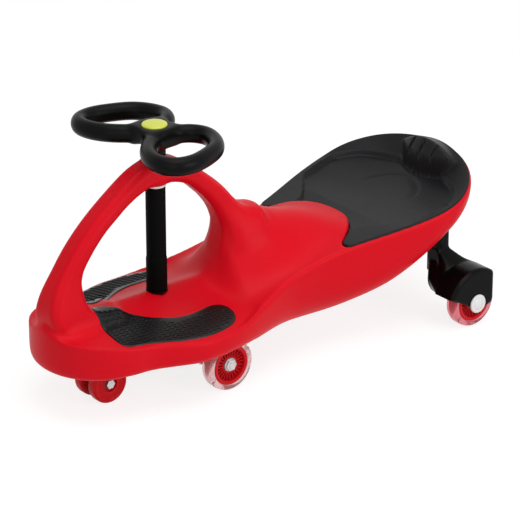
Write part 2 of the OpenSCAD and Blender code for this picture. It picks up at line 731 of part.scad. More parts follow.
module front_axle_nuts() {
    color("silver") for (y = [front_end, -front_end - nut_h])
        across(front_x, y, wheel_r) hex(axle_r * hex_share, nut_h, axle_r + run_gap);
}
module front_axle_spacers() {
    color("silver") for (y = [carrier_half, -carrier_half - spacer_l + end_play])
        across(front_x, y, wheel_r) tube(axle_r * spacer_share, axle_r + run_gap, spacer_l - end_play);
}

// The running wheels: a spoked rim, a tyre and two bearings on each
ring_share = 0.78;
module wheel_rim() {
    face = wheel_w / 2 - rim_shell / 2;
    ring_r = rim_r * ring_share;
    rotate_extrude() {
        translate([bearing_r, -hub_half]) square([rim_shell / 2, hub_half * 2]);
        translate([rim_r - rim_shell, -face]) square([rim_shell, face * 2]);
        translate([bearing_r, -rim_shell / 2]) square([rim_r - bearing_r - rim_shell / 2, rim_shell]);
        translate([ring_r, face - rim_shell / 2]) square([rim_r - ring_r, rim_shell / 2]);
    }
    for (k = [0:spoke_count - 1]) rotate([0, 0, 360 * k / spoke_count])
        translate([bearing_r + rim_shell / 4, -spoke_t / 2, 0])
            cube([rim_r - bearing_r - rim_shell, spoke_t, hub_half]);
}
module wheel_tyre() {
    rotate_extrude() difference() {
        union() {
            translate([rim_r + bed_gap, -wheel_w / 2])
                square([wheel_r - tyre_round - rim_r - bed_gap, wheel_w]);
            translate([rim_r + bed_gap, tyre_round - wheel_w / 2])
                square([wheel_r - rim_r - bed_gap, wheel_w - tyre_round * 2]);
            for (z = [-1, 1]) translate([wheel_r - tyre_round, z * (wheel_w / 2 - tyre_round)])
                circle(r = tyre_round);
        }
        translate([0, -wheel_w]) square([rim_r + bed_gap, wheel_w * 2]);
    }
}
module wheel_bearings() {
    for (z = [-hub_half, hub_half - bearing_w])
        translate([0, 0, z]) tube(bearing_r - run_gap, axle_r + run_gap, bearing_w);
}
module on_right(x, y, z) {
    mirror([0, 1, 0]) across(x, y, z) children();
}
module front_rim_left() {
    color("red") across(front_x, front_track, wheel_r) wheel_rim();
}
module front_rim_right() {
    color("red") on_right(front_x, front_track, wheel_r) wheel_rim();
}
module front_tyre_left() {
    color("mistyrose") across(front_x, front_track, wheel_r) wheel_tyre();
}
module front_tyre_right() {
    color("mistyrose") on_right(front_x, front_track, wheel_r) wheel_tyre();
}
module front_bearings_left() {
    color("silver") across(front_x, front_track, wheel_r) wheel_bearings();
}
module front_bearings_right() {
    color("silver") on_right(front_x, front_track, wheel_r) wheel_bearings();
}
module rear_rim_left() {
    color("red") across(rear_x, rear_track, wheel_r) wheel_rim();
}
module rear_rim_right() {
    color("red") on_right(rear_x, rear_track, wheel_r) wheel_rim();
}
module rear_tyre_left() {
    color("tomato") across(rear_x, rear_track, wheel_r) wheel_tyre();
}
module rear_tyre_right() {
    color("tomato") on_right(rear_x, rear_track, wheel_r) wheel_tyre();
}
module rear_bearings_left() {
    color("silver") across(rear_x, rear_track, wheel_r) wheel_bearings();
}
module rear_bearings_right() {
    color("silver") on_right(rear_x, rear_track, wheel_r) wheel_bearings();
}

// A rear housing wraps its wheel over the top and hangs on a post that stands in the body's tail
housing_in = rear_track - wheel_w / 2 - inner_room - housing_wall;
housing_out = rear_track + wheel_w / 2 + housing_room + housing_wall;
cavity_r = wheel_r + housing_room;
arc_start_angle = acos(-housing_back / housing_r);
arc_end_angle = acos(housing_fore / housing_r);
arc_steps = 12;
cheek_low_shares = [[0.29, -0.07], [-0.32, -0.25], [-0.57, -0.17], [-0.65, -0.08]];
cheek_round_share = 0.93;
function housing_arc(r) = [for (i = [0:arc_steps])
    let (c = mix(arc_start_angle, arc_end_angle, i / arc_steps)) [r * cos(c), r * sin(c)]];
module housing_outline(r) {
    polygon(concat(housing_arc(r), r * cheek_low_shares));
}
module side_slab(from, to) {
    translate([rear_x, to, wheel_r]) rotate([90, 0, 0]) linear_extrude(to - from) children();
}
module wheel_cavity() {
    side_slab(housing_in + housing_wall, housing_out - housing_wall) {
        circle(r = cavity_r);
        translate([-cavity_r, -cavity_r - overrun]) square([cavity_r * 2, cavity_r + overrun]);
    }
}
module rear_bracket() {
    difference() {
        union() {
            hull() {
                translate([post_x - post_l / 2, post_track - post_w / 2, root_low_z])
                    cube([post_l, post_w, root_top_z - root_low_z]);
                side_slab(housing_in, housing_out - housing_wall) housing_outline(housing_r);
                side_slab(housing_in, housing_out) housing_outline(housing_r * cheek_round_share);
            }
            post(1, 0, root_low_z);
        }
        wheel_cavity();
        across(rear_x, 0, wheel_r) cylinder(r = axle_r + run_gap, h = housing_out + overrun);
        across(rear_x, 0, wheel_r) cylinder(r = axle_r * hex_share + fit_gap, h = housing_in);
        for (p = bracket_spots) translate([p.x, p.y, 0]) {
            cylinder(r = screw_r + fit_gap, h = post_z + overrun);
            cylinder(r = screw_r * head_share + fit_gap, h = screw_seat_z);
        }
    }
}
module rear_bracket_left() {
    color("black") rear_bracket();
}
module rear_bracket_right() {
    color("black") mirror([0, 1, 0]) rear_bracket();
}
module bracket_screws() {
    color("silver") for (p = bracket_spots) translate([p.x, p.y, 0])
        screw(screw_seat_z, post_z + screw_bite - end_play);
}
module rear_axle() {
    across(rear_x, housing_in, wheel_r) cylinder(r = axle_r, h = housing_out - housing_in + end_cap_h / 2);
    across(rear_x, housing_in - nut_h, wheel_r) cylinder(r = axle_r * hex_share, h = nut_h, $fn = 6);
}
module rear_axle_left() {
    color("silver") rear_axle();
}
module rear_axle_right() {
    color("silver") mirror([0, 1, 0]) rear_axle();
}
module rear_axle_spacers() {
    inner_y = housing_in + housing_wall;
    outer_y = rear_track + hub_half + end_play;
    color("silver") for (side = [0, 1]) mirror([0, side, 0]) {
        across(rear_x, inner_y, wheel_r)
            tube(axle_r * spacer_share, axle_r + run_gap, rear_track - hub_half - end_play - inner_y);
        across(rear_x, outer_y, wheel_r)
            tube(axle_r * spacer_share, axle_r + run_gap, housing_out - housing_wall - outer_y);
    }
}
module rear_axle_caps() {
    color("white") for (side = [0, 1]) mirror([0, side, 0])
        across(rear_x, housing_out, wheel_r) difference() {
            cylinder(r = end_cap_r, h = end_cap_h);
            translate([0, 0, -overrun])
                cylinder(r = axle_r + fit_gap, h = overrun + end_cap_h / 2 + fit_gap);
        }
}

// The steering column, from the cap down to the arm
hub_low_z = lobe_z - bar_r;
cap_seat_z = cap_z - cap_h;
bolt_head_h = screw_head_h + screw_r;
shaft_top_z = cap_seat_z - bolt_head_h - end_play;
arm_low_z = arm_top_z - arm_hub_h;
pin_z = arm_top_z - arm_hub_h / 2;
lobe_shares = [[-0.2, 0.14], [-0.67, 0.23], [-0.88, 0.415], [-0.8, 0.64], [-0.54, 0.836], [-0.09, 0.94],
    [0.4, 1], [0.78, 0.95], [0.97, 0.79], [0.925, 0.57], [0.69, 0.36], [0.3, 0.19]];
lobe_steps = 3;
bar_steps = 12;
lobe_step_share = 0.05;
function lobe_row(i) = let (r = lobe_shares[(i + len(lobe_shares)) % len(lobe_shares)])
    [lobe_reach * r[0], lobe_out * r[1], -lobe_fall * r[1]];
function lobe_at(u) =
    let (i = floor(u), s = u - i)
    let (a = lobe_row(i - 1), b = lobe_row(i), c = lobe_row(i + 1), d = lobe_row(i + 2))
    b + (c - a) * s / 2 + (a * 2 - b * 5 + c * 4 - d) * s * s / 2
    + (b * 3 - a - c * 3 + d) * s * s * s / 2;
function lobe_ring(u) =
    let (c = lobe_at(u), ahead = lobe_at(u + lobe_step_share) - c)
    let (n = [ahead.y, -ahead.x] / norm([ahead.x, ahead.y]))
    [for (j = [0:bar_steps - 1]) let (v = 360 * j / bar_steps)
        [column_x + c.x + n.x * bar_r * cos(v), c.y + n.y * bar_r * cos(v), lobe_z + c.z - bar_r * sin(v)]];
module lobe() {
    loft([for (i = [0:len(lobe_shares) * lobe_steps - 1]) lobe_ring(i / lobe_steps)], true);
}
module steering_wheel() {
    color("black") difference() {
        union() {
            lobe();
            mirror([0, 1, 0]) lobe();
            translate([column_x, 0, hub_low_z]) cylinder(r = hub_r, h = hub_top_z - hub_low_z);
            translate([column_x, 0, neck_z]) cylinder(r = flange_r, h = hub_top_z - neck_z);
        }
        translate([column_x, 0, 0]) {
            cylinder(r = shaft_r + run_gap, h = cap_z);
            translate([0, 0, shaft_top_z]) cylinder(r = shaft_r + shaft_room, h = overrun + cap_h);
            translate([0, 0, cap_seat_z - bed_gap]) cylinder(r = cap_r + fit_gap, h = overrun + cap_h);
        }
    }
}
module hub_cap() {
    color("yellow") translate([column_x, 0, cap_seat_z]) cylinder(r = cap_r, h = cap_h);
}
module wheel_bolt() {
    color("silver") translate([column_x, 0, shaft_top_z]) {
        cylinder(r = shaft_r, h = bolt_head_h - bed_gap, $fn = 6);
        translate([0, 0, -bolt_len]) cylinder(r = screw_r, h = bolt_len + screw_head_h);
    }
}
module steering_shaft() {
    color("silver") difference() {
        translate([column_x, 0, arm_low_z - nut_h - end_play])
            cylinder(r = shaft_r, h = shaft_top_z - arm_low_z + nut_h + end_play);
        translate([column_x, 0, shaft_top_z - bolt_len - end_play])
            cylinder(r = screw_r + run_gap, h = bolt_len + overrun);
        across(column_x, -overrun, pin_z) cylinder(r = pin_r + run_gap, h = overrun * 2);
    }
}
module column_sleeve() {
    color("black") translate([column_x, 0, sleeve_z]) {
        tube(sleeve_r, shaft_r + run_gap, sleeve_top_z - sleeve_z);
        tube(sleeve_r + sleeve_swell, shaft_r + run_gap, sleeve_foot_h);
    }
}
bar_top_z = arm_top_z - flange_t * 2;
module steering_arm() {
    color("black") difference() {
        union() {
            translate([column_x, 0, arm_low_z]) cylinder(r = arm_hub_r, h = arm_hub_h);
            translate([0, arm_t / 2, 0]) rotate([90, 0, 0]) linear_extrude(arm_t) {
                translate([column_x, bar_top_z - arm_h]) square([steer_reach + eye_r, arm_h]);
                translate([steer_x - eye_r, steer_r]) square([eye_r * 2, bar_top_z - steer_r]);
                translate([steer_x, steer_r]) circle(r = eye_r);
            }
        }
        translate([column_x, 0, -overrun]) cylinder(r = shaft_r + run_gap, h = arm_top_z + overrun * 2);
        across(steer_x, -overrun, steer_r) cylinder(r = steer_bolt_r + run_gap, h = overrun * 2);
        across(column_x, -overrun, pin_z) cylinder(r = pin_r + run_gap, h = overrun * 2);
    }
}
module arm_nut() {
    color("silver") translate([column_x, 0, arm_low_z - nut_h])
        hex(shaft_r * lock_nut_share, nut_h, shaft_r + run_gap);
}
module arm_pin() {
    color("silver") across(column_x, -arm_hub_r, pin_z) cylinder(r = pin_r, h = arm_hub_r * 2);
}

// The two small wheels that steer share one bolt through the arm's eye
steer_in = arm_t / 2 + washer_t + end_play;
steer_out = steer_in + steer_w - steer_recess + end_play;
module steer_axle() {
    color("silver") {
        across(steer_x, -steer_out - nut_h, steer_r) cylinder(r = steer_bolt_r, h = steer_out * 2 + nut_h);
        across(steer_x, steer_out, steer_r) cylinder(r = steer_bolt_r * hex_share, h = nut_h, $fn = 6);
    }
}
module steer_axle_nut() {
    color("silver") across(steer_x, -steer_out - nut_h, steer_r)
        hex(steer_bolt_r * hex_share, nut_h, steer_bolt_r + run_gap);
}
module steer_washers() {
    color("silver") for (y = [arm_t / 2, -arm_t / 2 - washer_t])
        across(steer_x, y, steer_r) tube(steer_bolt_r * spacer_share, steer_bolt_r + run_gap, washer_t);
}
module steer_wheel() {
    across(steer_x, steer_in, steer_r) rotate_extrude() difference() {
        union() {
            translate([steer_bearing_r, 0])
                square([steer_r - steer_round - steer_bearing_r, steer_w]);
            translate([steer_bearing_r, steer_round])
                square([steer_r - steer_bearing_r, steer_w - steer_round * 2]);
            for (z = [steer_round, steer_w - steer_round])
                translate([steer_r - steer_round, z]) circle(r = steer_round);
        }
        translate([0, steer_w - steer_recess]) square([steer_recess_r, overrun]);
        for (z = [-overrun, steer_w - steer_dish]) translate([steer_recess_r + steer_dish, z])
            square([steer_r - steer_round * 2 - steer_recess_r - steer_dish, overrun + steer_dish]);
    }
}
module steer_bearing() {
    across(steer_x, steer_in, steer_r) tube(steer_bearing_r - run_gap, steer_bolt_r + run_gap,
        steer_w - steer_recess);
}
module steer_wheel_left() {
    color("red") steer_wheel();
}
module steer_wheel_right() {
    color("red") mirror([0, 1, 0]) steer_wheel();
}
module steer_bearing_left() {
    color("silver") steer_bearing();
}
module steer_bearing_right() {
    color("silver") mirror([0, 1, 0]) steer_bearing();
}

body_shell();
seat();
foot_pad_left();
foot_pad_right();
upper_bush();
lower_bush();
base_bush();
neck_washer();
front_axle_carrier();
carrier_screws();
front_axle();
front_axle_nuts();
front_axle_spacers();
rear_bracket_left();
rear_bracket_right();
bracket_screws();
rear_axle_left();
rear_axle_right();
rear_axle_spacers();
rear_axle_caps();
steering_wheel();
hub_cap();
wheel_bolt();
steering_shaft();
column_sleeve();
steering_arm();
arm_nut();
arm_pin();
steer_axle();
steer_axle_nut();
steer_washers();
steer_wheel_left();
steer_wheel_right();
steer_bearing_left();
steer_bearing_right();
front_rim_left();
front_rim_right();
front_tyre_left();
front_tyre_right();
front_bearings_left();
front_bearings_right();
rear_rim_left();
rear_rim_right();
rear_tyre_left();
rear_tyre_right();
rear_bearings_left();
rear_bearings_right();
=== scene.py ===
import math
import bmesh
import bpy
import numpy as np
from mathutils import Matrix, Vector
from mathutils.geometry import delaunay_2d_cdt


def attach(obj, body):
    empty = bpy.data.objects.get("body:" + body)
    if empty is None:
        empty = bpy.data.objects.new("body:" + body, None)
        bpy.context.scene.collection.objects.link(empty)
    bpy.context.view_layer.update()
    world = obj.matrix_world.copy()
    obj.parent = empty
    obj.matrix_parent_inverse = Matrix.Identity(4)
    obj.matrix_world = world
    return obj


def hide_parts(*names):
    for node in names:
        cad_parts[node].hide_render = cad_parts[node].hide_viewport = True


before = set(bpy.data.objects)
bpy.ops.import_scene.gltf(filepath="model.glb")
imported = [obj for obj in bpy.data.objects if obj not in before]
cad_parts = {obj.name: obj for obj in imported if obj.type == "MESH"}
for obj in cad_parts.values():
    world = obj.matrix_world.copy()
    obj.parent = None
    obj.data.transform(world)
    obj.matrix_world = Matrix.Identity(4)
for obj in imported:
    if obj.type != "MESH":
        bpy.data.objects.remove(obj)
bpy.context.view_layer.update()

# The body is one hollow shell of glossy red plastic, blown in a mould together with the arch over the column.
# Its skin is drawn as a field of distances in millimetres, so that arch, saddle and deck run into each other
# with moulded fillets, and the field is then turned into a mesh of quads.


def eased(t):
    t = np.clip(t, 0.0, 1.0)
    return t * t * (3.0 - 2.0 * t)


def passing(x, start, end):
    return eased((x - start) / (end - start))


def flowing(rows, x):
    """A smooth curve through rows of place and value, listed from the nose to the tail."""
    place, value = np.array(rows, float)[::-1].T
    count = np.arange(len(place))
    before, after = np.maximum(count - 1, 0), np.minimum(count + 1, len(place) - 1)
    slope = (value[after] - value[before]) / (place[after] - place[before])
    i = np.clip(np.searchsorted(place, x) - 1, 0, len(place) - 2)
    h = place[i + 1] - place[i]
    s = np.clip((x - place[i]) / h, 0.0, 1.0)
    r = 1.0 - s
    return (value[i] * (1 + 2 * s) * r * r + slope[i] * h * s * r * r
            + value[i + 1] * s * s * (3 - 2 * s) - slope[i + 1] * h * s * s * r)


def melted(a, b, k):
    h = np.clip(0.5 + 0.5 * (b - a) / k, 0.0, 1.0)
    return b + (a - b) * h - k * h * (1.0 - h)


def carved(a, b, k):
    return -melted(-a, -b, k)


half_len = 381.0
nose_r, nose_x = 105.0, 276.0
hip_x, hip_swell = 174.9, 29.0
waist_from, waist_x, waist_draw = 155.1, -20.0, 34.0
seat_from, seat_swell = -40.0, 46.0
seat_x, tail_len, seat_half = -275.0, 106.0, 146.0
column_x = 175.0
tongue_x, tongue_len, tongue_half, tongue_curve = -168.0, 64.0, 88.0, 2.4
deck_z, deck_fall, deck_half, deck_edge_drop = 135.5, 0.169, 134.0, 4.0
deck_ridge, deck_ridge_half = 9.0, 30.0
bank_drop, bank_wide = 12.0, 16.0
saddle_foot_x, neck_end_x, deck_start_x = 59.8, 60.0, 106.7
rim_rows = [(381, 135.5), (301, 124.3), (205.7, 110), (160, 110), (110.5, 115.9), (59.8, 127.6), (9.9, 142.5),
            (-49.9, 157.4), (-102, 168.5), (-150.1, 176.5), (-190.5, 183.5), (-241.2, 192.5), (-275, 200.5),
            (-318.1, 214.6), (-350.1, 226.4), (-381, 237.5)]
under_rows = [(381, 69), (345, 69.5), (320, 71), (299.8, 72.5), (260, 71), (200, 68), (120, 67.5),
              (59.8, 60.5), (-20, 55.5), (-78, 53.5), (-123, 58.5), (-174.9, 72.5), (-211, 92),
              (-251, 121.5), (-279, 143.5), (-330, 178), (-360, 197), (-381, 211)]
crown_rows = [(129.9, 142.5), (105.2, 145.5), (85, 161), (62.1, 196), (40, 221), (20, 233.5), (0, 232),
              (-17.9, 224.5), (-49.9, 211.8), (-99.8, 198), (-150.1, 184.2), (-168, 180.3)]


def rim_half(x):
    nose = np.sqrt(np.maximum(0.0, nose_r ** 2 - (x - nose_x) ** 2))
    tail = seat_half * np.sqrt(np.maximum(0.0, 1.0 - ((seat_x - x) / tail_len) ** 2))
    side = (nose_r + hip_swell * passing(x, nose_x, hip_x) - waist_draw * passing(x, waist_from, waist_x)
            + seat_swell * passing(x, seat_from, seat_x))
    return np.where(x > nose_x, nose, np.where(x < seat_x, tail, side))


def rim_height(x):
    return flowing(rim_rows, x)


def top_height(x, a):
    """The upper side of the skin: the saddle, and in front of it the deck with banks along the rim."""
    rim, half = rim_height(x), np.maximum(rim_half(x), 1.0)
    crown = np.where(x < tongue_x, rim, np.maximum(rim, flowing(crown_rows, x)))
    ridge = deck_ridge * np.exp(-(a / deck_ridge_half) ** 2)
    deck = deck_z - deck_fall * a - deck_edge_drop * (a / deck_half) ** 4 + ridge
    bank = rim - bank_drop * np.clip((half - a) / bank_wide, 0.0, 1.0) ** 1.5
    round_over = 0.5 + 0.5 * np.cos(np.pi * np.clip(a / half, 0.0, 1.0))
    saddle = rim + (crown - rim) * round_over ** (1.0 + 0.6 * passing(x, waist_x, neck_end_x))
    return saddle + (np.maximum(deck, bank) - saddle) * passing(x, saddle_foot_x, deck_start_x)


def line_distance(line, px, py, closed):
    """Distance to a line of points in a plane; within a closed line it is less than zero."""
    ends = np.roll(line, -1, axis=0) if closed else line[1:]
    best, inside = np.full(px.shape, 1e9), np.zeros(px.shape, bool)
    for (ax, ay), (bx, by) in zip(line, ends):
        dx, dy = bx - ax, by - ay
        t = np.clip(((px - ax) * dx + (py - ay) * dy) / (dx * dx + dy * dy + 1e-9), 0.0, 1.0)
        best = np.minimum(best, (px - ax - t * dx) ** 2 + (py - ay - t * dy) ** 2)
        if closed and dy != 0.0:
            inside ^= ((ay > py) != (by > py)) & (px < dx * (py - ay) / dy + ax)
    return np.where(inside, -1.0, 1.0) * np.sqrt(best)


def rounded_line(points, steps, closed=False):
    p = np.array(points, float)
    if closed:
        p = np.vstack([p[-1], p, p[0], p[1]])
    else:
        p = np.vstack([2 * p[0] - p[1], p, 2 * p[-1] - p[-2]])
    out = []
    for i in range(1, len(p) - 2):
        a, b, c, d = p[i - 1:i + 3]
        for s in np.arange(steps) / steps:
            out.append(b + (c - a) * s / 2 + (2 * a - 5 * b + 4 * c - d) * s * s / 2
                       + (3 * b - a - 3 * c + d) * s ** 3 / 2)
    return np.array(out if closed else out + [p[-2]])


def sampled(field, low, cell, points):
    """Value and outward direction of a field between its grid's corners."""
    g = (points - np.array(low)) / cell
    i = np.clip(np.floor(g).astype(int), 0, np.array(field.shape) - 2)
    t = g - i
    share = [(1 - t[:, m], t[:, m]) for m in range(3)]
    value, slope = np.zeros(len(points)), np.zeros((len(points), 3))
    for a in (0, 1):
        for b in (0, 1):
            for c in (0, 1):
                v = field[i[:, 0] + a, i[:, 1] + b, i[:, 2] + c]
                sx, sy, sz = share[0][a], share[1][b], share[2][c]
                value += v * sx * sy * sz
                slope += v[:, None] * np.stack([(2 * a - 1) * sy * sz, (2 * b - 1) * sx * sz,
                                                (2 * c - 1) * sx * sy], 1)
    slope = slope / cell
    length = np.maximum(np.linalg.norm(slope, axis=1), 0.2)
    return value / length, slope / length[:, None]


def moulded(field, low, cell):
    """Quads over the surface where the field is zero, one point in each cell that it crosses."""
    corners = [(i, j, k) for i in (0, 1) for j in (0, 1) for k in (0, 1)]
    n = np.array(field.shape) - 1
    inside = field < 0
    count = sum(inside[c[0]:c[0] + n[0], c[1]:c[1] + n[1], c[2]:c[2] + n[2]].astype(np.int8) for c in corners)
    cells = np.argwhere((count > 0) & (count < 8))
    number = np.full(tuple(n), -1, np.int64)
    number[tuple(cells.T)] = np.arange(len(cells))
    value = {c: field[cells[:, 0] + c[0], cells[:, 1] + c[1], cells[:, 2] + c[2]] for c in corners}
    total, hits = np.zeros((len(cells), 3)), np.zeros(len(cells))
    for c in corners:
        for axis in range(3):
            if c[axis] == 0:
                e = tuple(1 if m == axis else c[m] for m in range(3))
                cross = (value[c] < 0) != (value[e] < 0)
                spot = np.repeat(np.array([c], float), len(cells), 0)
                spot[:, axis] = np.where(cross, value[c] / np.where(cross, value[c] - value[e], 1.0), 0.0)
                total += spot * cross[:, None]
                hits += cross
    points = (cells + total / hits[:, None]) * cell + np.array(low)
    quads = []
    for axis in range(3):
        u, v = (axis + 1) % 3, (axis + 2) % 3
        here, ahead = [slice(None)] * 3, [slice(None)] * 3
        here[axis], ahead[axis] = slice(0, -1), slice(1, None)
        spots = np.argwhere(inside[tuple(here)] != inside[tuple(ahead)])
        spots = spots[(spots[:, u] > 0) & (spots[:, v] > 0) & (spots[:, u] < n[u]) & (spots[:, v] < n[v])]
        ring = []
        for du, dv in ((-1, -1), (0, -1), (0, 0), (-1, 0)):
            q = spots.copy()
            q[:, u] += du
            q[:, v] += dv
            ring.append(number[tuple(q.T)])
        ring = np.array(ring).T
        quads.append(np.where(inside[tuple(spots.T)][:, None], ring, ring[:, ::-1]))
    for _ in range(3):
        off, slope = sampled(field, low, cell, points)
        points = points - np.clip(off, -0.5 * cell, 0.5 * cell)[:, None] * slope
    return points, np.vstack(quads)


def mesh_piece(name, points, faces, smooth=True):
    mesh = bpy.data.meshes.new(name)
    mesh.from_pydata((np.asarray(points) * 0.001).tolist(), [], [list(map(int, q)) for q in faces])
    mesh.update()
    mesh.polygons.foreach_set("use_smooth", np.full(len(mesh.polygons), smooth))
    piece = bpy.data.objects.new(name, mesh)
    bpy.context.collection.objects.link(piece)
    return piece


cell = 3.0
xs, ys, zs = np.arange(-393, 394, cell), np.arange(0, 159, cell), np.arange(41, 367, cell)
X, A, Z = xs[:, None, None], ys[None, :, None], zs[None, None, :]
plan_x, plan_a = np.meshgrid(xs, ys, indexing="ij")
side_x, side_z = np.meshgrid(xs, zs, indexing="ij")
quarter = np.linspace(0, np.pi / 2, 30)
rim_line = np.concatenate([nose_x + nose_r * np.cos(quarter), np.linspace(nose_x, seat_x, 120)[1:-1],
                           seat_x - tail_len * np.sin(quarter)])
rim_line = np.stack([rim_line, rim_half(rim_line)], 1)
plan = line_distance(rim_line, plan_x, plan_a, False)
plan = np.where((plan_a < rim_half(plan_x)) & (np.abs(plan_x) < half_len), -plan, plan)
tops = top_height(plan_x, plan_a)
tilt_x, tilt_a = np.gradient(tops, cell)
f_top = (Z - tops[:, :, None]) / np.sqrt(1 + tilt_x ** 2 + tilt_a ** 2)[:, :, None]

# the bowl of sides and belly, rounder at the waist and squarer at the nose
least_half, least_depth, rim_round = 2.0, 6.0, 7.0
belly_power, hip_power, nose_power, nose_squares = 4.0, 2.0, 5.0, (200.0, 320.0)
rim = rim_height(X)
depth = np.maximum(rim - flowing(under_rows, X), least_depth)
power = belly_power + hip_power * passing(X, waist_x, hip_x) + nose_power * passing(X, *nose_squares)
tail_share = np.hypot((seat_x - X) / tail_len, A / seat_half)
across = np.where(X < seat_x, tail_share, A / np.maximum(rim_half(X), least_half))
across = np.clip(np.where(X > nose_x, np.hypot(X - nose_x, A) / nose_r, across), 1e-4, 6.0)
down = np.clip((rim - Z) / depth, 1e-4, 6.0)
bowl = (across ** power + down ** power) ** (1.0 / power)
grow = np.gradient(bowl, cell)
steep = np.maximum(np.sqrt(grow[0] ** 2 + grow[1] ** 2 + grow[2] ** 2), 1e-3)
f_side = np.maximum(np.clip((bowl - 1.0) / steep, -60, 60), plan[:, :, None])
hull = carved(f_side, f_top, rim_round)

# the arch, drawn from the side, with chamfered edges and legs that widen towards their feet
arch_out = [(335, 109.5), (356, 124), (371, 138), (377, 160), (369.5, 190.5), (350.7, 222), (327.5, 252.5),
            (298.2, 282), (262.9, 310), (223.5, 336.5), (196.2, 347.5), (175, 350.9), (147.7, 347),
            (117.4, 329.3), (81.3, 300.8), (58.5, 279), (38.5, 255.5), (19, 238), (-3.7, 230.5)]
arch_in = [(62.9, 177.5), (61.9, 199.5), (62.9, 209.5), (64.4, 219.5), (68, 230), (73, 241.5), (79.1, 252.5),
           (88.2, 264.5), (99.3, 276.5), (128.5, 301.5), (162.9, 312), (188.1, 312.5), (212.4, 305.5),
           (235.6, 293), (253.8, 279.5), (271.9, 265.5), (286.6, 251), (299.2, 236), (310.3, 220.5),
           (316.4, 207.5), (318.4, 193.5), (314.5, 171), (305, 155), (287, 146), (262, 141.5)]
arch_feet = [(-3.7, 187.5)], [(255, 109.5)]
arch_half, arch_chamfer = 21.0, 8.5
front_flare, front_flare_z, front_flare_run = 10.0, 222.5, 90
rear_flare, rear_flare_z, rear_flare_run, rear_flare_x = 15.0, 265.5, 70, (74.0, 36.0)
arch_fillet, nose_fillet, fillet_shrinks = 18.0, 7.0, (335, 372)
arch_line = np.vstack([rounded_line(arch_out, 5), arch_feet[0], rounded_line(arch_in, 5), arch_feet[1]])
arch_side = line_distance(arch_line, side_x, side_z, True)[:, None, :]
front_leg = front_flare * eased((front_flare_z - Z) / front_flare_run)
rear_leg = rear_flare * eased((rear_flare_z - Z) / rear_flare_run) * passing(X, *rear_flare_x)
arch_edge = A - (arch_half + np.where(X > column_x, front_leg, rear_leg))
chamfer = (arch_side + arch_edge + arch_chamfer) * math.sqrt(0.5)
arch = carved(carved(arch_side, arch_edge, 3.0), chamfer, 2.5)
body = melted(hull, arch, arch_fillet - (arch_fillet - nose_fillet) * passing(X, *fillet_shrinks))
boss_r, boss_foot_z, boss_top_z = 18.5, 312.3, 351.3
from_column = np.hypot(plan_x - column_x, plan_a)[:, :, None]
boss = np.maximum(np.maximum(from_column - boss_r, boss_foot_z - Z), Z - boss_top_z)
body = melted(body, boss, 5.0)

# where the seat liner lies, how its pan runs from front to back, and the recess that takes it
rim_lip, recess_lap, recess_deep, recess_front_x, skin_least = 2.6, 3.2, 5.5, -102.5, 7.5
pan_end_x, pan_end_z, back_slope = -345.2, 200.5, 0.72
pan_rows = [(-102, 164.5), (-168, 175.3), (-200, 176.9), (-250, 180), (-300, 187.2), (pan_end_x, pan_end_z)]


def pan_height(x):
    return np.where(x > pan_end_x, flowing(pan_rows, x), pan_end_z + (pan_end_x - x) * back_slope)


def side_inset(x, a, edge):
    """How far a point lies inside the seat's side and tail, without its front edge."""
    side = rim_half(np.maximum(x, seat_x)) - edge - a
    oval = np.hypot((seat_x - x) / (tail_len - edge), a / (seat_half - edge))
    return np.where(x < seat_x, (1.0 - oval) * (tail_len - edge), side)


def tongue_distance(x, a, gap):
    share = np.clip(a / tongue_half, 0, 1.3)
    lean = np.sqrt(1 + (tongue_len * tongue_curve / tongue_half * share ** (tongue_curve - 1)) ** 2)
    return (x - tongue_x + gap - tongue_len * share ** tongue_curve) / lean


recess = carved(-side_inset(plan_x, plan_a, rim_lip + recess_lap), tongue_distance(plan_x, plan_a, -1.0), 5.0)
recess = carved(recess, plan_x - recess_front_x, 8.0)
recess = np.maximum(recess[:, :, None], (pan_height(plan_x) - recess_deep)[:, :, None] - Z)
recess = np.maximum(recess, f_side + skin_least)
body = carved(body, -recess, 4.0)

# room under the body for front wheels, axle carrier, shaft, its nut and bush, and the rear posts
well_x, well_y, well_z, well_r, well_half = 117.2, 91.3, 40.0, 48.0, 20.0
carrier_room_x, carrier_room_y, under_room_z = 16.3, 62.6, 71.7
shaft_bore, nut_room_r, bush_room_r, bush_room_z, bush_room_top, away = 12.4, 20.5, 16.3, 142.3, 250, 200.0
post_x, post_y, post_half_x, post_half_y, post_top, post_gap = -294.0, 95.0, 11.5, 13.0, 165.5, 0.3
from_axle = np.hypot(side_x - well_x, side_z - well_z)[:, None, :]
well = carved(from_axle - well_r, np.abs(A - well_y) - well_half, 3.0)
body = carved(body, -well, 3.0)
carrier_room = np.maximum(np.abs(X - well_x) - carrier_room_x, A - carrier_room_y)
bush_room = np.maximum(from_column - bush_room_r, bush_room_z - Z) + away * (Z > bush_room_top)
post_socket = np.maximum(np.abs(X - post_x) - post_half_x, np.abs(A - post_y) - post_half_y)
for room in (np.maximum(carrier_room, Z - under_room_z), from_column - shaft_bore,
             np.maximum(from_column - nut_room_r, Z - under_room_z), bush_room,
             np.maximum(post_socket, Z - post_top) - post_gap):
    body = np.maximum(body, -room)

deck_from_z = 100
start = int((deck_from_z - zs[0]) / cell)
deck_top = np.clip(np.argmax(body[:, :, start:] > 0, axis=2) + start, 1, len(zs) - 1)
below = np.take_along_axis(body, deck_top[:, :, None] - 1, 2)[:, :, 0]
above = np.take_along_axis(body, deck_top[:, :, None], 2)[:, :, 0]
deck_map = zs[deck_top] - cell * above / np.where(above - below == 0, 1, above - below)

whole_body = np.concatenate([body[:, :0:-1, :], body], axis=1)
body_low = (xs[0], -ys[-1], zs[0])
body_skin = mesh_piece("body_skin", *moulded(whole_body, body_low, cell))


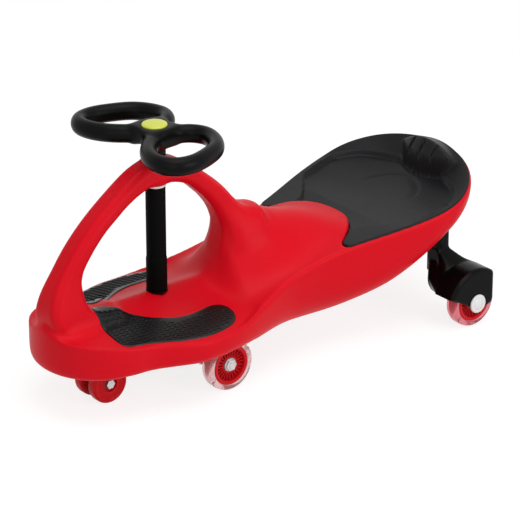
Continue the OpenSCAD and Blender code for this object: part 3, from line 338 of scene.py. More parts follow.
class Tone:
    """A socket of a node tree: sums on it add Math nodes, and add() puts in any other node."""

    def __init__(self, tree, socket=None):
        self.tree, self.socket = tree, socket

    def add(self, kind, settings=None, inputs=None, out=0):
        node = self.tree.nodes.new(kind)
        for key, value in (settings or {}).items():
            setattr(node, key, value)
        for key, value in (inputs or {}).items():
            for single in value if isinstance(value, list) else [value]:
                if isinstance(single, Tone):
                    self.tree.links.new(single.socket, node.inputs[key])
                else:
                    node.inputs[key].default_value = single
        return Tone(self.tree, node.outputs[out] if node.outputs else None)

    def sum(self, operation, first, second):
        return self.add("ShaderNodeMath", {"operation": operation}, {0: first, 1: second})

    def __add__(self, other):
        return self.sum("ADD", self, other)

    def __radd__(self, other):
        return self.sum("ADD", other, self)

    def __sub__(self, other):
        return self.sum("SUBTRACT", self, other)

    def __mul__(self, other):
        return self.sum("MULTIPLY", self, other)

    def __truediv__(self, other):
        return self.sum("DIVIDE", self, other)


def plain_finish(name, colour, roughness, **constants):
    """A new material with its plain values set; returns it, its shader and a Tone to build on."""
    material = bpy.data.materials.new(name)
    material.use_nodes = True
    shader = material.node_tree.nodes["Principled BSDF"]
    shader.inputs["Base Color"].default_value = (*colour, 1)
    shader.inputs["Roughness"].default_value = roughness
    for key, value in constants.items():
        shader.inputs[key.replace("_", " ")].default_value = value
    return material, shader, Tone(material.node_tree)


def wired(material, shader, **values):
    """Links what was worked out for a material to its shader's inputs."""
    for key, value in values.items():
        material.node_tree.links.new(value.socket, shader.inputs[key.replace("_", " ")])
    return material


def grained(name, colour, roughness, grain, height=0.0003, mottle=0.2, spread=0.05, scuff=0.08, **constants):
    """Moulded plastic: a fine grain in the surface, a little drift in colour and gloss, and faint scuffs."""
    material, shader, tone = plain_finish(name, colour, roughness, **constants)
    place = tone.add("ShaderNodeTexCoord", out=3)
    fine = tone.add("ShaderNodeTexNoise", None,
                    {"Vector": place, "Scale": grain, "Detail": 3.0, "Roughness": 0.6})
    broad = tone.add("ShaderNodeTexNoise", None, {"Vector": place, "Scale": 9.0, "Detail": 2.0})
    long_way = tone.add("ShaderNodeMapping", None, {"Vector": place, "Scale": (14.0, 260.0, 260.0)})
    marks = tone.add("ShaderNodeTexNoise", None, {"Vector": long_way, "Scale": 1.0, "Detail": 2.0})
    marks = tone.add("ShaderNodeMapRange", None, {"Value": marks, "From Min": 0.66, "From Max": 0.74})
    bump = tone.add("ShaderNodeBump", None, {"Height": fine, "Strength": 0.35, "Distance": height})
    dark = tuple(c * (1 - mottle) for c in colour) + (1,)
    light = tuple(min(1, c * (1 + mottle) + scuff * 0.02) for c in colour) + (1,)
    blend = tone.add("ShaderNodeMix", {"data_type": "RGBA"}, {0: broad, 6: dark, 7: light}, out=2)
    gloss = roughness + (broad - 0.5) * (2 * spread) + (fine - 0.5) * spread + marks * scuff
    return wired(material, shader, Base_Color=blend, Roughness=gloss, Normal=bump)


def dressed(piece, material, body_name, slot, *nodes):
    """Puts the material on a piece, lets it ride on its body and takes the place of its plain solids."""
    piece.data.materials.clear()
    piece.data.materials.append(material)
    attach(piece, body_name)
    if nodes:
        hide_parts(*nodes)


red_plastic = grained("body_red_plastic", (0.715, 0.002, 0.012), 0.42, grain=900.0, mottle=0.04,
                      scuff=0.12, Specular_IOR_Level=0.1)
dressed(body_skin, red_plastic, "chassis", "body_red", "body_shell")

# The seat liner is a thin charcoal moulding with a satin skin that lies over the body's rim, held by pegs.
# Its rim is bevelled down to a shallow pan, and the high back has a swelled panel with three upright slots.


def evened(line, step, rounds):
    """A closed line with its points spread evenly and its corners rounded off."""
    p = np.vstack([line, line[:1]])
    run = np.concatenate([[0], np.cumsum(np.linalg.norm(np.diff(p, axis=0), axis=1))])
    spots = np.linspace(0, run[-1], int(run[-1] / step) + 1)[:-1]
    p = np.stack([np.interp(spots, run, p[:, 0]), np.interp(spots, run, p[:, 1])], 1)
    for _ in range(rounds):
        p = (np.roll(p, 1, axis=0) + 2 * p + np.roll(p, -1, axis=0)) / 4
    return p


def plated(outline, spacing, rings, top, under, extra=()):
    """A thin moulding cut to an outline: top and underside share their triangles, closed at the edge."""
    along = np.roll(outline, -1, axis=0) - np.roll(outline, 1, axis=0)
    inward = np.stack([-along[:, 1], along[:, 0]], 1) / np.linalg.norm(along, axis=1)[:, None]
    low, high = outline.min(0), outline.max(0)
    ways = [np.arange(low[m], high[m], spacing) for m in (0, 1)]
    grid = np.stack([g.ravel() for g in np.meshgrid(*ways, indexing="ij")], 1)
    spots = np.vstack([outline + inward * r for r in rings] + [grid] + list(extra))
    inset = -line_distance(outline, spots[:, 0], spots[:, 1], True)
    clear = np.full(len(spots), rings[-1] + 0.5 * spacing)
    clear[:len(outline) * len(rings)] = np.repeat(np.array(rings) * 0.8, len(outline))
    spots = np.vstack([outline, spots[inset > clear]])
    n = len(outline)
    loop = [(i, (i + 1) % n) for i in range(n)]
    flat = delaunay_2d_cdt([Vector(p) for p in spots], loop, [], 1, 1e-4)
    plane, faces = np.array([tuple(v) for v in flat[0]]), [list(f) for f in flat[2]]
    edge = {old: new for new, olds in enumerate(flat[3]) for old in olds if old < n}
    inset = -line_distance(outline, plane[:, 0], plane[:, 1], True)
    high_z = top(plane[:, 0], plane[:, 1], inset)
    low_z = under(plane[:, 0], plane[:, 1], inset, high_z)
    count = len(plane)
    points = np.vstack([np.column_stack([plane, high_z]), np.column_stack([plane, low_z])])
    shell = faces + [[i + count for i in reversed(f)] for f in faces]
    shell += [[edge[j], edge[i], edge[i] + count, edge[j] + count] for i, j in loop]
    return points, shell


seat_front_x = -103.5
seat_edge_x = np.concatenate([seat_x - (tail_len - rim_lip) * np.cos(quarter),
                              np.linspace(seat_x, seat_front_x, 60)[1:]])
seat_side = np.stack([seat_edge_x, side_inset(seat_edge_x, 0.0, rim_lip)], 1)
seat_side[:len(quarter), 1] = (seat_half - rim_lip) * np.sin(quarter)
tongue_a = np.linspace(tongue_half, 0.0, 40)
seat_front = np.stack([tongue_x + tongue_len * (tongue_a / tongue_half) ** tongue_curve, tongue_a], 1)
seat_outline = np.vstack([seat_side, seat_front])
seat_outline = np.vstack([seat_outline * (1, -1), seat_outline[-2:0:-1]])
seat_outline = evened(seat_outline, 2.5, 8)


def roll_edge(inset, radius):
    t = np.clip(1.0 - inset / radius, 0.0, 1.0)
    return radius * (1.0 - np.sqrt(np.maximum(0.0, 1.0 - t * t)))


ridge_rows = [(-100, 170.0), (-150, 177.5), (-200, 185.6), (-253, 195.8), (-288, 201), (-314, 205),
              (-335, 204), (-350, 202.5), (-381, 202)]
rim_cover, liner_thick, liner_edge, floor_top, floor_under = 1.4, 2.6, 5.0, 3.8, 5.2
border_wide, border_grows, border_start_x, border_run, tongue_border = 10.5, 22.0, -253.0, 93.0, 40.0
pan_deep, pan_edge_deep, tongue_lift, pan_border, lip_high = 7.0, 6.0, 3.5, 24.0, 0.9
crescent_x, crescent_r, crescent_wide, crescent_deep = -266.0, 53.0, 16.0, 1.1
back_crest_x, back_crest_z, back_foot_x, back_half = -350.0, 250.0, -334.0, 34.0
back_fall, back_round, face_slope, foot_slope, foot_curve = 0.43, 0.0058, 1.3, 9.0, 0.006
groove_deep, groove_half, groove_fades = 7.0, 5.5, 22.0
slot_lanes, slot_half, slot_half_len, slot_deep = (0.0, 24.0), 2.7, 9.0, 9.0


def seat_top(x, y, inset):
    """A sloping border inside the rim, a step down to the dished pan, and the swelled back with its slots."""
    a = np.abs(y)
    rim = rim_height(x) + rim_cover
    ridge = np.minimum(flowing(ridge_rows, x), rim - 0.4)
    tail = np.clip((border_start_x - x) / border_run, 0.0, 1.2)
    border = border_wide + border_grows * tail ** 2.6 + tongue_border * passing(x, -215.0, -150.0)
    s = side_inset(x, a, rim_lip)
    slope = rim + (ridge - rim) * np.clip(s / border, 0.0, 1.0)
    middle = np.minimum(flowing(pan_rows, np.maximum(x, pan_end_x)), ridge - pan_deep)
    edge = ridge - pan_edge_deep + tongue_lift * passing(x, -230.0, -170.0)
    half_pan = np.maximum(rim_half(np.maximum(x, -330.0)) - pan_border, 20.0)
    pan = middle + (edge - middle) * np.clip(a / half_pan, 0.0, 1.0) ** 2.2
    top = slope + (np.minimum(pan, slope) - slope) * eased((s - border) / 3.0)
    top = top + lip_high * np.exp(-((s - border + 0.8) / 1.5) ** 2) * passing(x, -200.0, -250.0)
    arc = np.hypot(x - crescent_x, y) - crescent_r
    fading = eased((arc + crescent_wide) / crescent_wide) * passing(x, -262.0, -285.0)
    top = top - crescent_deep * eased(1.0 - arc / 1.5) * fading
    foot = back_foot_x - foot_curve * a ** 2
    face = back_crest_z - 4.5 + (foot - 12.0 - x) * face_slope - foot_slope * np.maximum(x - foot, 0.0)
    crest = back_crest_z - back_fall * np.maximum(back_crest_x - x, 0.0) - back_round * a ** 2
    hump = melted(face, crest, 6.0)
    ends = eased((back_half + groove_fades - a) / groove_fades)
    groove = groove_deep * eased(1.0 - np.abs(x - foot - 3.0) / groove_half) * ends
    top = carved(top - groove, hump, 9.0)
    for lane in slot_lanes:
        slot = np.maximum(np.abs(a - lane) - slot_half, np.abs(x - foot + 5.0) - slot_half_len)
        top = top - slot_deep * eased(0.5 - slot / 1.8)
    return np.maximum(top, pan_height(x) - floor_top) - roll_edge(inset, 2.2)


def seat_under(x, y, inset, top):
    lowest = np.maximum(top - liner_thick, pan_height(x) - floor_under)
    return np.where(inset < 0.05, rim_height(x) - liner_edge, lowest)


slot_x, slot_y = np.meshgrid(np.arange(-377, -324, 1.25), np.arange(-52, 53, 1.25), indexing="ij")
slot_spots = np.stack([slot_x.ravel(), slot_y.ravel()], 1)
seat_points, seat_faces = plated(seat_outline, 2.2, (0.5, 1.2, 2.3), seat_top, seat_under, [slot_spots])
seat_liner = mesh_piece("seat_liner", seat_points, seat_faces)
charcoal = grained("seat_charcoal_plastic", (0.006, 0.006, 0.0072), 0.4, grain=1400.0, height=0.0004,
                   mottle=0.14, spread=0.06, scuff=0.06, Specular_IOR_Level=0.14)
dressed(seat_liner, charcoal, "chassis", "seat_charcoal", "seat")

# Two foot pads of black rubber lie on the deck's slopes beside the column, pressed onto pegs in the body.
# A smooth border runs round a tread of small zig-zag ribs, which Geometry Nodes set out over the pad.
pad_line = rounded_line([(300, 10), (289, 7), (277, 8.5), (253, 23), (230, 42), (213.5, 53), (195, 62),
                         (172, 67.5), (148, 66), (132, 64), (119.5, 65), (110, 70), (104.5, 80), (105.5, 94),
                         (111, 105), (121.5, 113.5), (137, 119), (167, 122.5), (195, 120), (217, 114.5),
                         (236, 108), (256, 101), (277, 95.5), (290, 93), (298.5, 87), (302, 77), (302.5, 55),
                         (303, 32), (304, 18)], 5, True)
pad_outline = evened(pad_line[::-1], 2.5, 2)
pad_proud, pad_roll, pad_sunk = 1.6, 1.8, 2.4


def deck_height(x, a):
    i, j = np.clip((x - xs[0]) / cell, 0, len(xs) - 2), np.clip(a / cell, 0, len(ys) - 2)
    m, n = i.astype(int), j.astype(int)
    s, t = i - m, j - n
    return ((deck_map[m, n] * (1 - s) + deck_map[m + 1, n] * s) * (1 - t)
            + (deck_map[m, n + 1] * (1 - s) + deck_map[m + 1, n + 1] * s) * t)


def pad_top(x, a, inset):
    return deck_height(x, a) + pad_proud - roll_edge(inset, pad_roll)


def pad_under(x, a, inset, top):
    return deck_height(x, a) - pad_sunk


pad_points, pad_faces = plated(pad_outline, 4.0, (0.5, 1.1, 2.0), pad_top, pad_under)

rib_wave, rib_pitch, rib_high, rib_half, rib_crest, rib_swing = 9.0, 6.2, 1.1, 1.2, 0.9, 1.7
rib_clear, strip_wide, lean_reach = 4.5, 11.0, 3
strip_line = [(104, 74), (120, 65), (148, 66), (172, 67), (195, 62), (213, 53), (230, 42), (253, 23),
              (278, 8), (300, 8)]
rib_x, rib_a = np.meshgrid(np.arange(96, 312, rib_wave), np.arange(10, 132, rib_pitch), indexing="ij")
rib_x, rib_a = rib_x.ravel(), rib_a.ravel()
inner_edge = np.interp(rib_x, *zip(*strip_line))
keep = (line_distance(pad_outline, rib_x, rib_a, True) < -rib_clear) & (rib_a > inner_edge + strip_wide)
rib_x, rib_a = rib_x[keep], rib_a[keep]
rib_z = deck_height(rib_x, rib_a) + pad_proud - 0.1
rise_x = deck_height(rib_x + lean_reach, rib_a) - deck_height(rib_x - lean_reach, rib_a)
rise_a = deck_height(rib_x, rib_a + lean_reach) - deck_height(rib_x, rib_a - lean_reach)
rib_facing = np.stack([-rise_x / (2 * lean_reach), -rise_a / (2 * lean_reach), np.ones(len(rib_x))], 1)

zig = [(-rib_wave / 2, 0), (-rib_wave / 4, rib_swing), (rib_wave / 4, -rib_swing), (rib_wave / 2, 0)]
rib_section = ((-rib_half, 0), (rib_crest, rib_high), (rib_half, 0))
rib_points = [(x, y + w, h) for x, y in zig for w, h in rib_section]
rib_faces = [[3 * k + i, 3 * k + j, 3 * k + 3 + j, 3 * k + 3 + i]
             for k in range(3) for i, j in ((1, 0), (2, 1), (0, 2))]
rib_faces += [[0, 1, 2], [11, 10, 9]]


def node_tree(name, inputs):
    """A Geometry Nodes tree with named inputs: gives the tree, a Tone for each input and their keys."""
    tree = bpy.data.node_groups.new(name, "GeometryNodeTree")
    keys = {title: tree.interface.new_socket(name=title, in_out="INPUT", socket_type=kind).identifier
            for title, kind in inputs}
    tree.interface.new_socket(name="Geometry", in_out="OUTPUT", socket_type="NodeSocketGeometry")
    given = tree.nodes.new("NodeGroupInput")
    return tree, {title: Tone(tree, given.outputs[title]) for title in keys}, keys


def set_out(piece, tree, keys, values):
    """Runs a tree on a piece and keeps the result as the piece's own plain mesh."""
    step = piece.modifiers.new(tree.name, "NODES")
    step.node_group = tree
    for title, value in values.items():
        step[keys[title]] = value
    ready = piece.evaluated_get(bpy.context.evaluated_depsgraph_get())
    made = bpy.data.meshes.new_from_object(ready)
    piece.modifiers.remove(step)
    piece.data = made


def ended(tone, repeats, plain, finish):
    """Ends a tree: makes the repeats real, joins them to the plain mesh and gives all of it one finish."""
    repeats = tone.add("GeometryNodeRealizeInstances", None, {"Geometry": repeats})
    whole = tone.add("GeometryNodeJoinGeometry", None, {"Geometry": [repeats, plain]})
    whole = tone.add("GeometryNodeSetMaterial", None, {"Geometry": whole, "Material": finish})
    tone.add("NodeGroupOutput", None, {"Geometry": whole})


tread_tree, given, tread_keys = node_tree("tread", [
    ("Geometry", "NodeSocketGeometry"), ("Pad", "NodeSocketObject"), ("Rib", "NodeSocketObject"),
    ("Finish", "NodeSocketMaterial")])
tone = Tone(tread_tree)
rib = tone.add("GeometryNodeObjectInfo", None, {"Object": given["Rib"]}, out="Geometry")
pad = tone.add("GeometryNodeObjectInfo", None, {"Object": given["Pad"]}, out="Geometry")
spots = tone.add("GeometryNodeMeshToPoints", None, {"Mesh": given["Geometry"]})
facing = tone.add("GeometryNodeInputNamedAttribute", {"data_type": "FLOAT_VECTOR"}, {"Name": "facing"})
turned_to = tone.add("FunctionNodeAlignRotationToVector", {"axis": "Z"}, {"Vector": facing})
ribs = tone.add("GeometryNodeInstanceOnPoints", None,
                {"Points": spots, "Instance": rib, "Rotation": turned_to})
ended(tone, ribs, pad, given["Finish"])

pad_rubber = grained("pad_black_rubber", (0.003, 0.003, 0.003), 0.24, grain=1600.0, height=0.0004,
                     spread=0.06, scuff=0.1, Specular_IOR_Level=0.26)
rib_shape = mesh_piece("tread_rib", rib_points, rib_faces)
sides = ((1, "left"), (-1, "right"))
for side, word in sides:
    mirror = np.array([1, side, 1])
    facing_way = [list(f)[::side] for f in pad_faces]
    flat_pad = mesh_piece("flat_pad", pad_points * mirror, facing_way)
    foot_pad = mesh_piece("foot_tread_" + word, np.stack([rib_x, rib_a, rib_z], 1) * mirror, [])
    lean = foot_pad.data.attributes.new("facing", "FLOAT_VECTOR", "POINT")
    lean.data.foreach_set("vector", (rib_facing * mirror).ravel())
    set_out(foot_pad, tread_tree, tread_keys, {"Pad": flat_pad, "Rib": rib_shape, "Finish": pad_rubber})
    bpy.data.objects.remove(flat_pad)
    dressed(foot_pad, pad_rubber, "chassis", "pad_black", "foot_pad_" + word)
bpy.data.objects.remove(rib_shape)

# White nylon bushes for the steering shaft press into the body, with a black one where it meets the deck.
# They are turned parts, a flange and a sleeve, and only the upper flange shows.


def painted(material, *names):
    """Gives solids of the frame that keep their shape a finish of their own."""
    for name in names:
        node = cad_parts[name]
        node.data.materials.clear()
        node.data.materials.append(material)


nylon = grained("white_nylon", (0.78, 0.77, 0.74), 0.42, grain=1200.0, mottle=0.04)
black_plastic = grained("black_plastic", (0.002, 0.002, 0.002), 0.45, grain=1300.0, height=0.0004,
                        spread=0.07, scuff=0.05, Specular_IOR_Level=0.07)
painted(nylon, "upper_bush", "base_bush", "neck_washer")
painted(black_plastic, "lower_bush")

# The steering shaft is a zinc-plated steel rod in a black plastic sleeve, which swells a little at its foot.
# The sleeve is lathe-turned here with softened ends; the rod shows only above and below it.


def turned(profile, steps, closed=True):
    """A profile of radius and height swept round the upright axis; a radius of nothing makes a pole."""
    points, faces, rows = [], [], []
    for r, h in profile:
        if r < 1e-6:
            rows.append([len(points)] * steps)
            points.append((0.0, 0.0, h))
        else:
            rows.append(list(range(len(points), len(points) + steps)))
            points += [(r * math.cos(2 * math.pi * k / steps), r * math.sin(2 * math.pi * k / steps), h)
                       for k in range(steps)]
    pairs = list(zip(rows, rows[1:] + rows[:1] if closed else rows[1:]))
    for first, second in pairs:
        for k in range(steps):
            ring = [first[k], first[(k + 1) % steps], second[(k + 1) % steps], second[k]]
            ring = list(dict.fromkeys(ring))
            if len(ring) > 2:
                faces.append(ring)
    return np.array(points), faces


def outward(piece):
    """Turns a closed piece's faces to point out."""
    shape = bmesh.new()
    shape.from_mesh(piece.data)
    bmesh.ops.recalc_face_normals(shape, faces=shape.faces)
    shape.to_mesh(piece.data)
    shape.free()
    return piece


def placed(points, x, y, z, axis="Z", side=1):
    """Moves turned points to their place; along Y the outer end points away from the middle."""
    p = np.asarray(points, float)
    if axis == "Y":
        p = np.stack([p[:, 0], p[:, 2] * side, -p[:, 1]], 1)
    return p + np.array([x, y, z])


def lathe_piece(name, shape, x, y, z, axis="Z", side=1):
    points, faces = shape
    return outward(mesh_piece(name, placed(points, x, y, z, axis, side), faces))


def merged(*parts):
    points, faces, start = [], [], 0
    for p, f in parts:
        points.append(p)
        faces += [[i + start for i in q] for q in f]
        start += len(p)
    return np.vstack(points), faces


def rounded_profile(profile, radius):
    """Cuts each corner of a closed profile with a small round."""
    p = np.array(profile, float)
    out = []
    for before, here, after in zip(np.roll(p, 1, axis=0), p, np.roll(p, -1, axis=0)):
        to_before, to_after = before - here, after - here
        reach_b, reach_a = np.linalg.norm(to_before), np.linalg.norm(to_after)
        cut = min(radius, 0.45 * reach_b, 0.45 * reach_a)
        start, end = here + to_before / reach_b * cut, here + to_after / reach_a * cut
        for t in (0.0, 0.33, 0.67, 1.0):
            out.append((1 - t) ** 2 * start + 2 * t * (1 - t) * here + t * t * end)
    return [tuple(q) for q in out]


steel_zinc, shader, tone = plain_finish("zinc_steel", (0.62, 0.62, 0.63), 0.3, Metallic=1.0)
place = tone.add("ShaderNodeTexCoord", out=3)
long_way = tone.add("ShaderNodeMapping", None, {"Vector": place, "Scale": (300.0, 40.0, 300.0)})
brushed = tone.add("ShaderNodeTexNoise", None, {"Vector": long_way, "Scale": 4.0, "Detail": 3.0})
cloud = tone.add("ShaderNodeTexNoise", None, {"Vector": place, "Scale": 160.0, "Detail": 3.0})
shine = tone.add("ShaderNodeMix", {"data_type": "RGBA"},
                 {0: cloud, 6: (0.42, 0.42, 0.44, 1), 7: (0.78, 0.77, 0.75, 1)}, out=2)
worn = 0.18 + brushed * 0.22 + cloud * 0.1
scratched = tone.add("ShaderNodeBump", None, {"Height": brushed, "Strength": 0.25, "Distance": 0.0002})
wired(steel_zinc, shader, Base_Color=shine, Roughness=worn, Normal=scratched)
painted(steel_zinc, "steering_shaft", "wheel_bolt")

sleeve_profile = [(12.0, 145.6), (15.5, 145.6), (15.5, 194.6), (14.7, 196.6), (14.7, 308.2), (12.0, 308.2)]
sleeve_black = grained("sleeve_black_plastic", (0.0015, 0.0015, 0.0015), 0.6, grain=1500.0, height=0.0004,
                       Specular_IOR_Level=0.04)
sleeve_shape = turned(rounded_profile(sleeve_profile, 1.6), 64)
column_cover = lathe_piece("column_cover", sleeve_shape, column_x, 0, 0)
dressed(column_cover, sleeve_black, "steering", "black_plastic", "column_sleeve")

# The steering wheel is one black moulding: two closed loops of thick round bar that run into a flat hub.
# A bolt under the lime cap pulls it down onto the shaft, and the cap snaps into the hub's top.
wheel_cell = 1.6
lobe_z, lobe_fall, bar_r, bar_tall = 386.6, 2.0 / 125.0, 12.3, 1.12
lobe_wide_share, lobe_long_share = 0.96, 0.965
hub_r, hub_foot_z, hub_top_z, face_z = 26.0, 377.0, 401.6, 402.0
neck_r, neck_foot_z, neck_top_z, shaft_r = 16.0, 354.8, 385.0, 11.2
cap_seat_r, cap_seat_z = 19.4, 399.0
lobe_points = [(-13.2, 17.5), (-43, 28.5), (-57, 51), (-52, 78), (-35, 101), (-8, 115.5), (24, 124),
               (50, 118.5), (63.5, 98.8), (61, 71.3), (45.5, 45), (19.8, 23.8)]
lobe_line = rounded_line([(lobe_wide_share * x, lobe_long_share * y, lobe_z - lobe_fall * y)
                          for x, y in lobe_points], 8, True)
wx, wy, wz = np.arange(-84, 85, wheel_cell), np.arange(0, 144, wheel_cell), np.arange(350, 410, wheel_cell)
WX, WY, WZ = wx[:, None, None], wy[None, :, None], wz[None, None, :]
loop = np.full((len(wx), len(wy), len(wz)), 1e9)
for a, b in zip(lobe_line, np.roll(lobe_line, -1, axis=0)):
    d = b - a
    t = np.clip(((WX - a[0]) * d[0] + (WY - a[1]) * d[1] + (WZ - a[2]) * d[2]) / (d @ d), 0.0, 1.0)
    flat = (WX - a[0] - t * d[0]) ** 2 + (WY - a[1] - t * d[1]) ** 2
    loop = np.minimum(loop, flat + ((WZ - a[2] - t * d[2]) / bar_tall) ** 2)
loop = np.sqrt(loop) - bar_r
from_shaft = np.hypot(WX, WY)
hub = carved(carved(from_shaft - hub_r, WZ - hub_top_z, 5.0), hub_foot_z - WZ, 4.0)
neck = carved(carved(from_shaft - neck_r, neck_foot_z - WZ, 2.0), WZ - neck_top_z, 1.0)
handle = carved(melted(melted(loop, hub, 16.0), neck, 8.0), WZ - face_z, 3.0)
handle = np.maximum(handle, -np.maximum(from_shaft - cap_seat_r, cap_seat_z - WZ))
handle = np.maximum(handle, shaft_r - from_shaft)
handle = np.concatenate([handle[:, :0:-1, :], handle], axis=1)
handle_points, handle_faces = moulded(handle, (wx[0], -wy[-1], wz[0]), wheel_cell)
hand_wheel = mesh_piece("hand_wheel", handle_points + np.array([column_x, 0, 0]), handle_faces)
grip_black = grained("grip_black_plastic", (0.002, 0.002, 0.002), 0.3, grain=1500.0, height=0.0005,
                     spread=0.06, scuff=0.05, Specular_IOR_Level=0.08)
dressed(hand_wheel, grip_black, "steering", "grip_black", "steering_wheel")

lime = grained("lime_cap_plastic", (0.66, 0.70, 0.06), 0.3, grain=900.0, mottle=0.05)
cap_profile = [(0, 399.2), (18.6, 399.2), (18.9, 401.8), (18.3, 403.0), (16.8, 403.9), (12.0, 404.6),
               (6.0, 405.0), (0, 405.2)]
lime_cap = lathe_piece("lime_cap", turned(cap_profile, 64, False), column_x, 0, 0)
dressed(lime_cap, lime, "steering", "cap_lime", "hub_cap")

# Under the nose a black plastic arm is pinned to the shaft, and carries one bolt with two small wheels.
# The small wheels are solid red plastic, dished on both faces, each with a bearing pressed in.
painted(black_plastic, "steering_arm")
painted(steel_zinc, "arm_nut", "arm_pin", "steer_axle", "steer_axle_nut", "steer_washers")
bearing_steel = grained("dark_bearing_steel", (0.09, 0.09, 0.095), 0.35, grain=1200.0, mottle=0.25,
                        spread=0.08, scuff=0.1, Metallic=1.0)
painted(bearing_steel, "steer_bearing_left", "steer_bearing_right")
wheel_red = grained("wheel_red_plastic", (0.60, 0.002, 0.008), 0.36, grain=1100.0, mottle=0.06, scuff=0.12,
                    Specular_IOR_Level=0.14)
small_x, small_z, small_y = 279.99, 30.0, 16.8
small_profile = [(8.1, -8.5), (13.0, -8.5), (14.5, -6.8), (23.0, -6.8), (25.0, -8.5), (27.2, -8.3),
                 (29.2, -7.0), (30.0, -5.0), (30.0, 5.0), (29.2, 7.0), (27.2, 8.3), (25.0, 8.5), (23.4, 7.2),
                 (14.5, 7.2), (13.0, 8.3), (11.2, 8.3), (11.0, 3.6), (8.1, 3.6)]
small_shape = turned(rounded_profile(small_profile, 0.8), 72)
for side, word in sides:
    small_wheel = lathe_piece("small_wheel_" + word, small_shape, small_x, small_y * side, small_z, "Y", side)
    dressed(small_wheel, wheel_red, "steer_wheel_" + word[0], "wheel_red", "steer_wheel_" + word)

# The front axle is a steel rod through a black carrier block that four screws hold under the body.
# A hexagon nut on each end keeps the wheel on, with a washer under it.
painted(black_plastic, "front_axle_carrier")
painted(steel_zinc, "carrier_screws", "front_axle", "front_axle_spacers")
front_x, front_y, nut_y, wheel_z = 117.19, 91.3, 98.35, 40.0
nut_shape = turned([(5.4, 0.0), (9.4, 0.0), (9.4, 4.4), (8.2, 5.2), (5.8, 5.2), (5.4, 4.6)], 6)
washer_shape = turned(rounded_profile([(5.3, -0.3), (10.2, -0.3), (10.2, 0.9), (5.3, 0.9)], 0.3), 48)
end_shape = turned([(0, 3.4), (4.4, 3.6), (5.0, 3.2), (5.0, 0.0), (0, 0.0)], 32, False)
nut_parts = []
for side in (1, -1):
    for shape in (nut_shape, washer_shape, end_shape):
        nut_parts.append((placed(shape[0], front_x, nut_y * side, wheel_z, "Y", side), shape[1]))
end_nuts = outward(mesh_piece("end_nuts", *merged(*nut_parts), smooth=False))
dressed(end_nuts, steel_zinc, "chassis", "steel", "front_axle_nuts")

# Each running wheel is a red plastic rim with two bearings and a clear soft tyre cast round it.
# The rim is lathe-turned with a sunk web, and Geometry Nodes set the spokes out around its hub.
rim_profile = [(11.05, -7.0), (13.2, -7.0), (13.8, -3.0), (23.4, -3.0), (24.4, -9.6), (28.0, -10.6),
               (30.9, -10.2), (30.9, 10.2), (28.5, 11.2), (25.0, 10.4), (24.0, 2.2), (13.4, 2.2), (13.0, 7.0),
               (11.05, 7.0)]
tyre_profile = [(31.0, -10.4), (33.6, -11.9), (36.4, -11.6), (38.6, -9.9), (40.0, -6.6), (40.0, 6.6),
                (38.6, 9.9), (36.4, 11.6), (33.6, 11.9), (31.0, 10.4)]
rim_shape = turned(rounded_profile(rim_profile, 0.7), 96)
tyre_shape = turned(rounded_profile(tyre_profile, 1.4), 96)

spoke_tree, given, spoke_keys = node_tree("spokes", [
    ("Geometry", "NodeSocketGeometry"), ("Count", "NodeSocketInt"), ("Inner", "NodeSocketFloat"),
    ("Outer", "NodeSocketFloat"), ("Thick", "NodeSocketFloat"), ("Tall", "NodeSocketFloat"),
    ("Lift", "NodeSocketFloat"), ("Finish", "NodeSocketMaterial")])
tone = Tone(spoke_tree)
spoke_size = tone.add("ShaderNodeCombineXYZ", None,
                      {0: given["Outer"] - given["Inner"], 1: given["Thick"], 2: given["Tall"]})
spoke_spot = tone.add("ShaderNodeCombineXYZ", None,
                      {0: (given["Outer"] + given["Inner"]) * 0.5, 2: given["Lift"]})
spoke = tone.add("GeometryNodeMeshCube", None, {"Size": spoke_size})
spoke = tone.add("GeometryNodeTransform", None, {"Geometry": spoke, "Translation": spoke_spot})
angle = tone.add("GeometryNodeInputIndex") * (2 * math.pi) / given["Count"]
turn = tone.add("ShaderNodeCombineXYZ", None, {2: angle})
hubs = tone.add("GeometryNodePoints", None, {"Count": given["Count"]})
spokes = tone.add("GeometryNodeInstanceOnPoints", None, {"Points": hubs, "Instance": spoke, "Rotation": turn})
ended(tone, spokes, given["Geometry"], given["Finish"])

rim_red = grained("rim_red_plastic", (0.60, 0.002, 0.008), 0.32, grain=1100.0, mottle=0.08, spread=0.06,
                  scuff=0.12, Specular_IOR_Level=0.16)


def clear_tyre(name, colour):
    """Clear soft plastic: light goes through it, with faint streaks and a slightly dulled skin."""
    material, shader, tone = plain_finish(name, colour, 0.15, Transmission_Weight=0.8, IOR=1.22)
    place = tone.add("ShaderNodeTexCoord", out=3)
    streak = tone.add("ShaderNodeTexNoise", None, {"Vector": place, "Scale": 220.0, "Detail": 3.0})
    dark = tuple(c * 0.94 for c in colour) + (1,)
    tint = tone.add("ShaderNodeMix", {"data_type": "RGBA"}, {0: streak, 6: dark, 7: (*colour, 1)}, out=2)
    dull = 0.1 + streak * 0.12
    wave = tone.add("ShaderNodeBump", None, {"Height": streak, "Strength": 0.2, "Distance": 0.0003})
    return wired(material, shader, Base_Color=tint, Roughness=dull, Normal=wave)


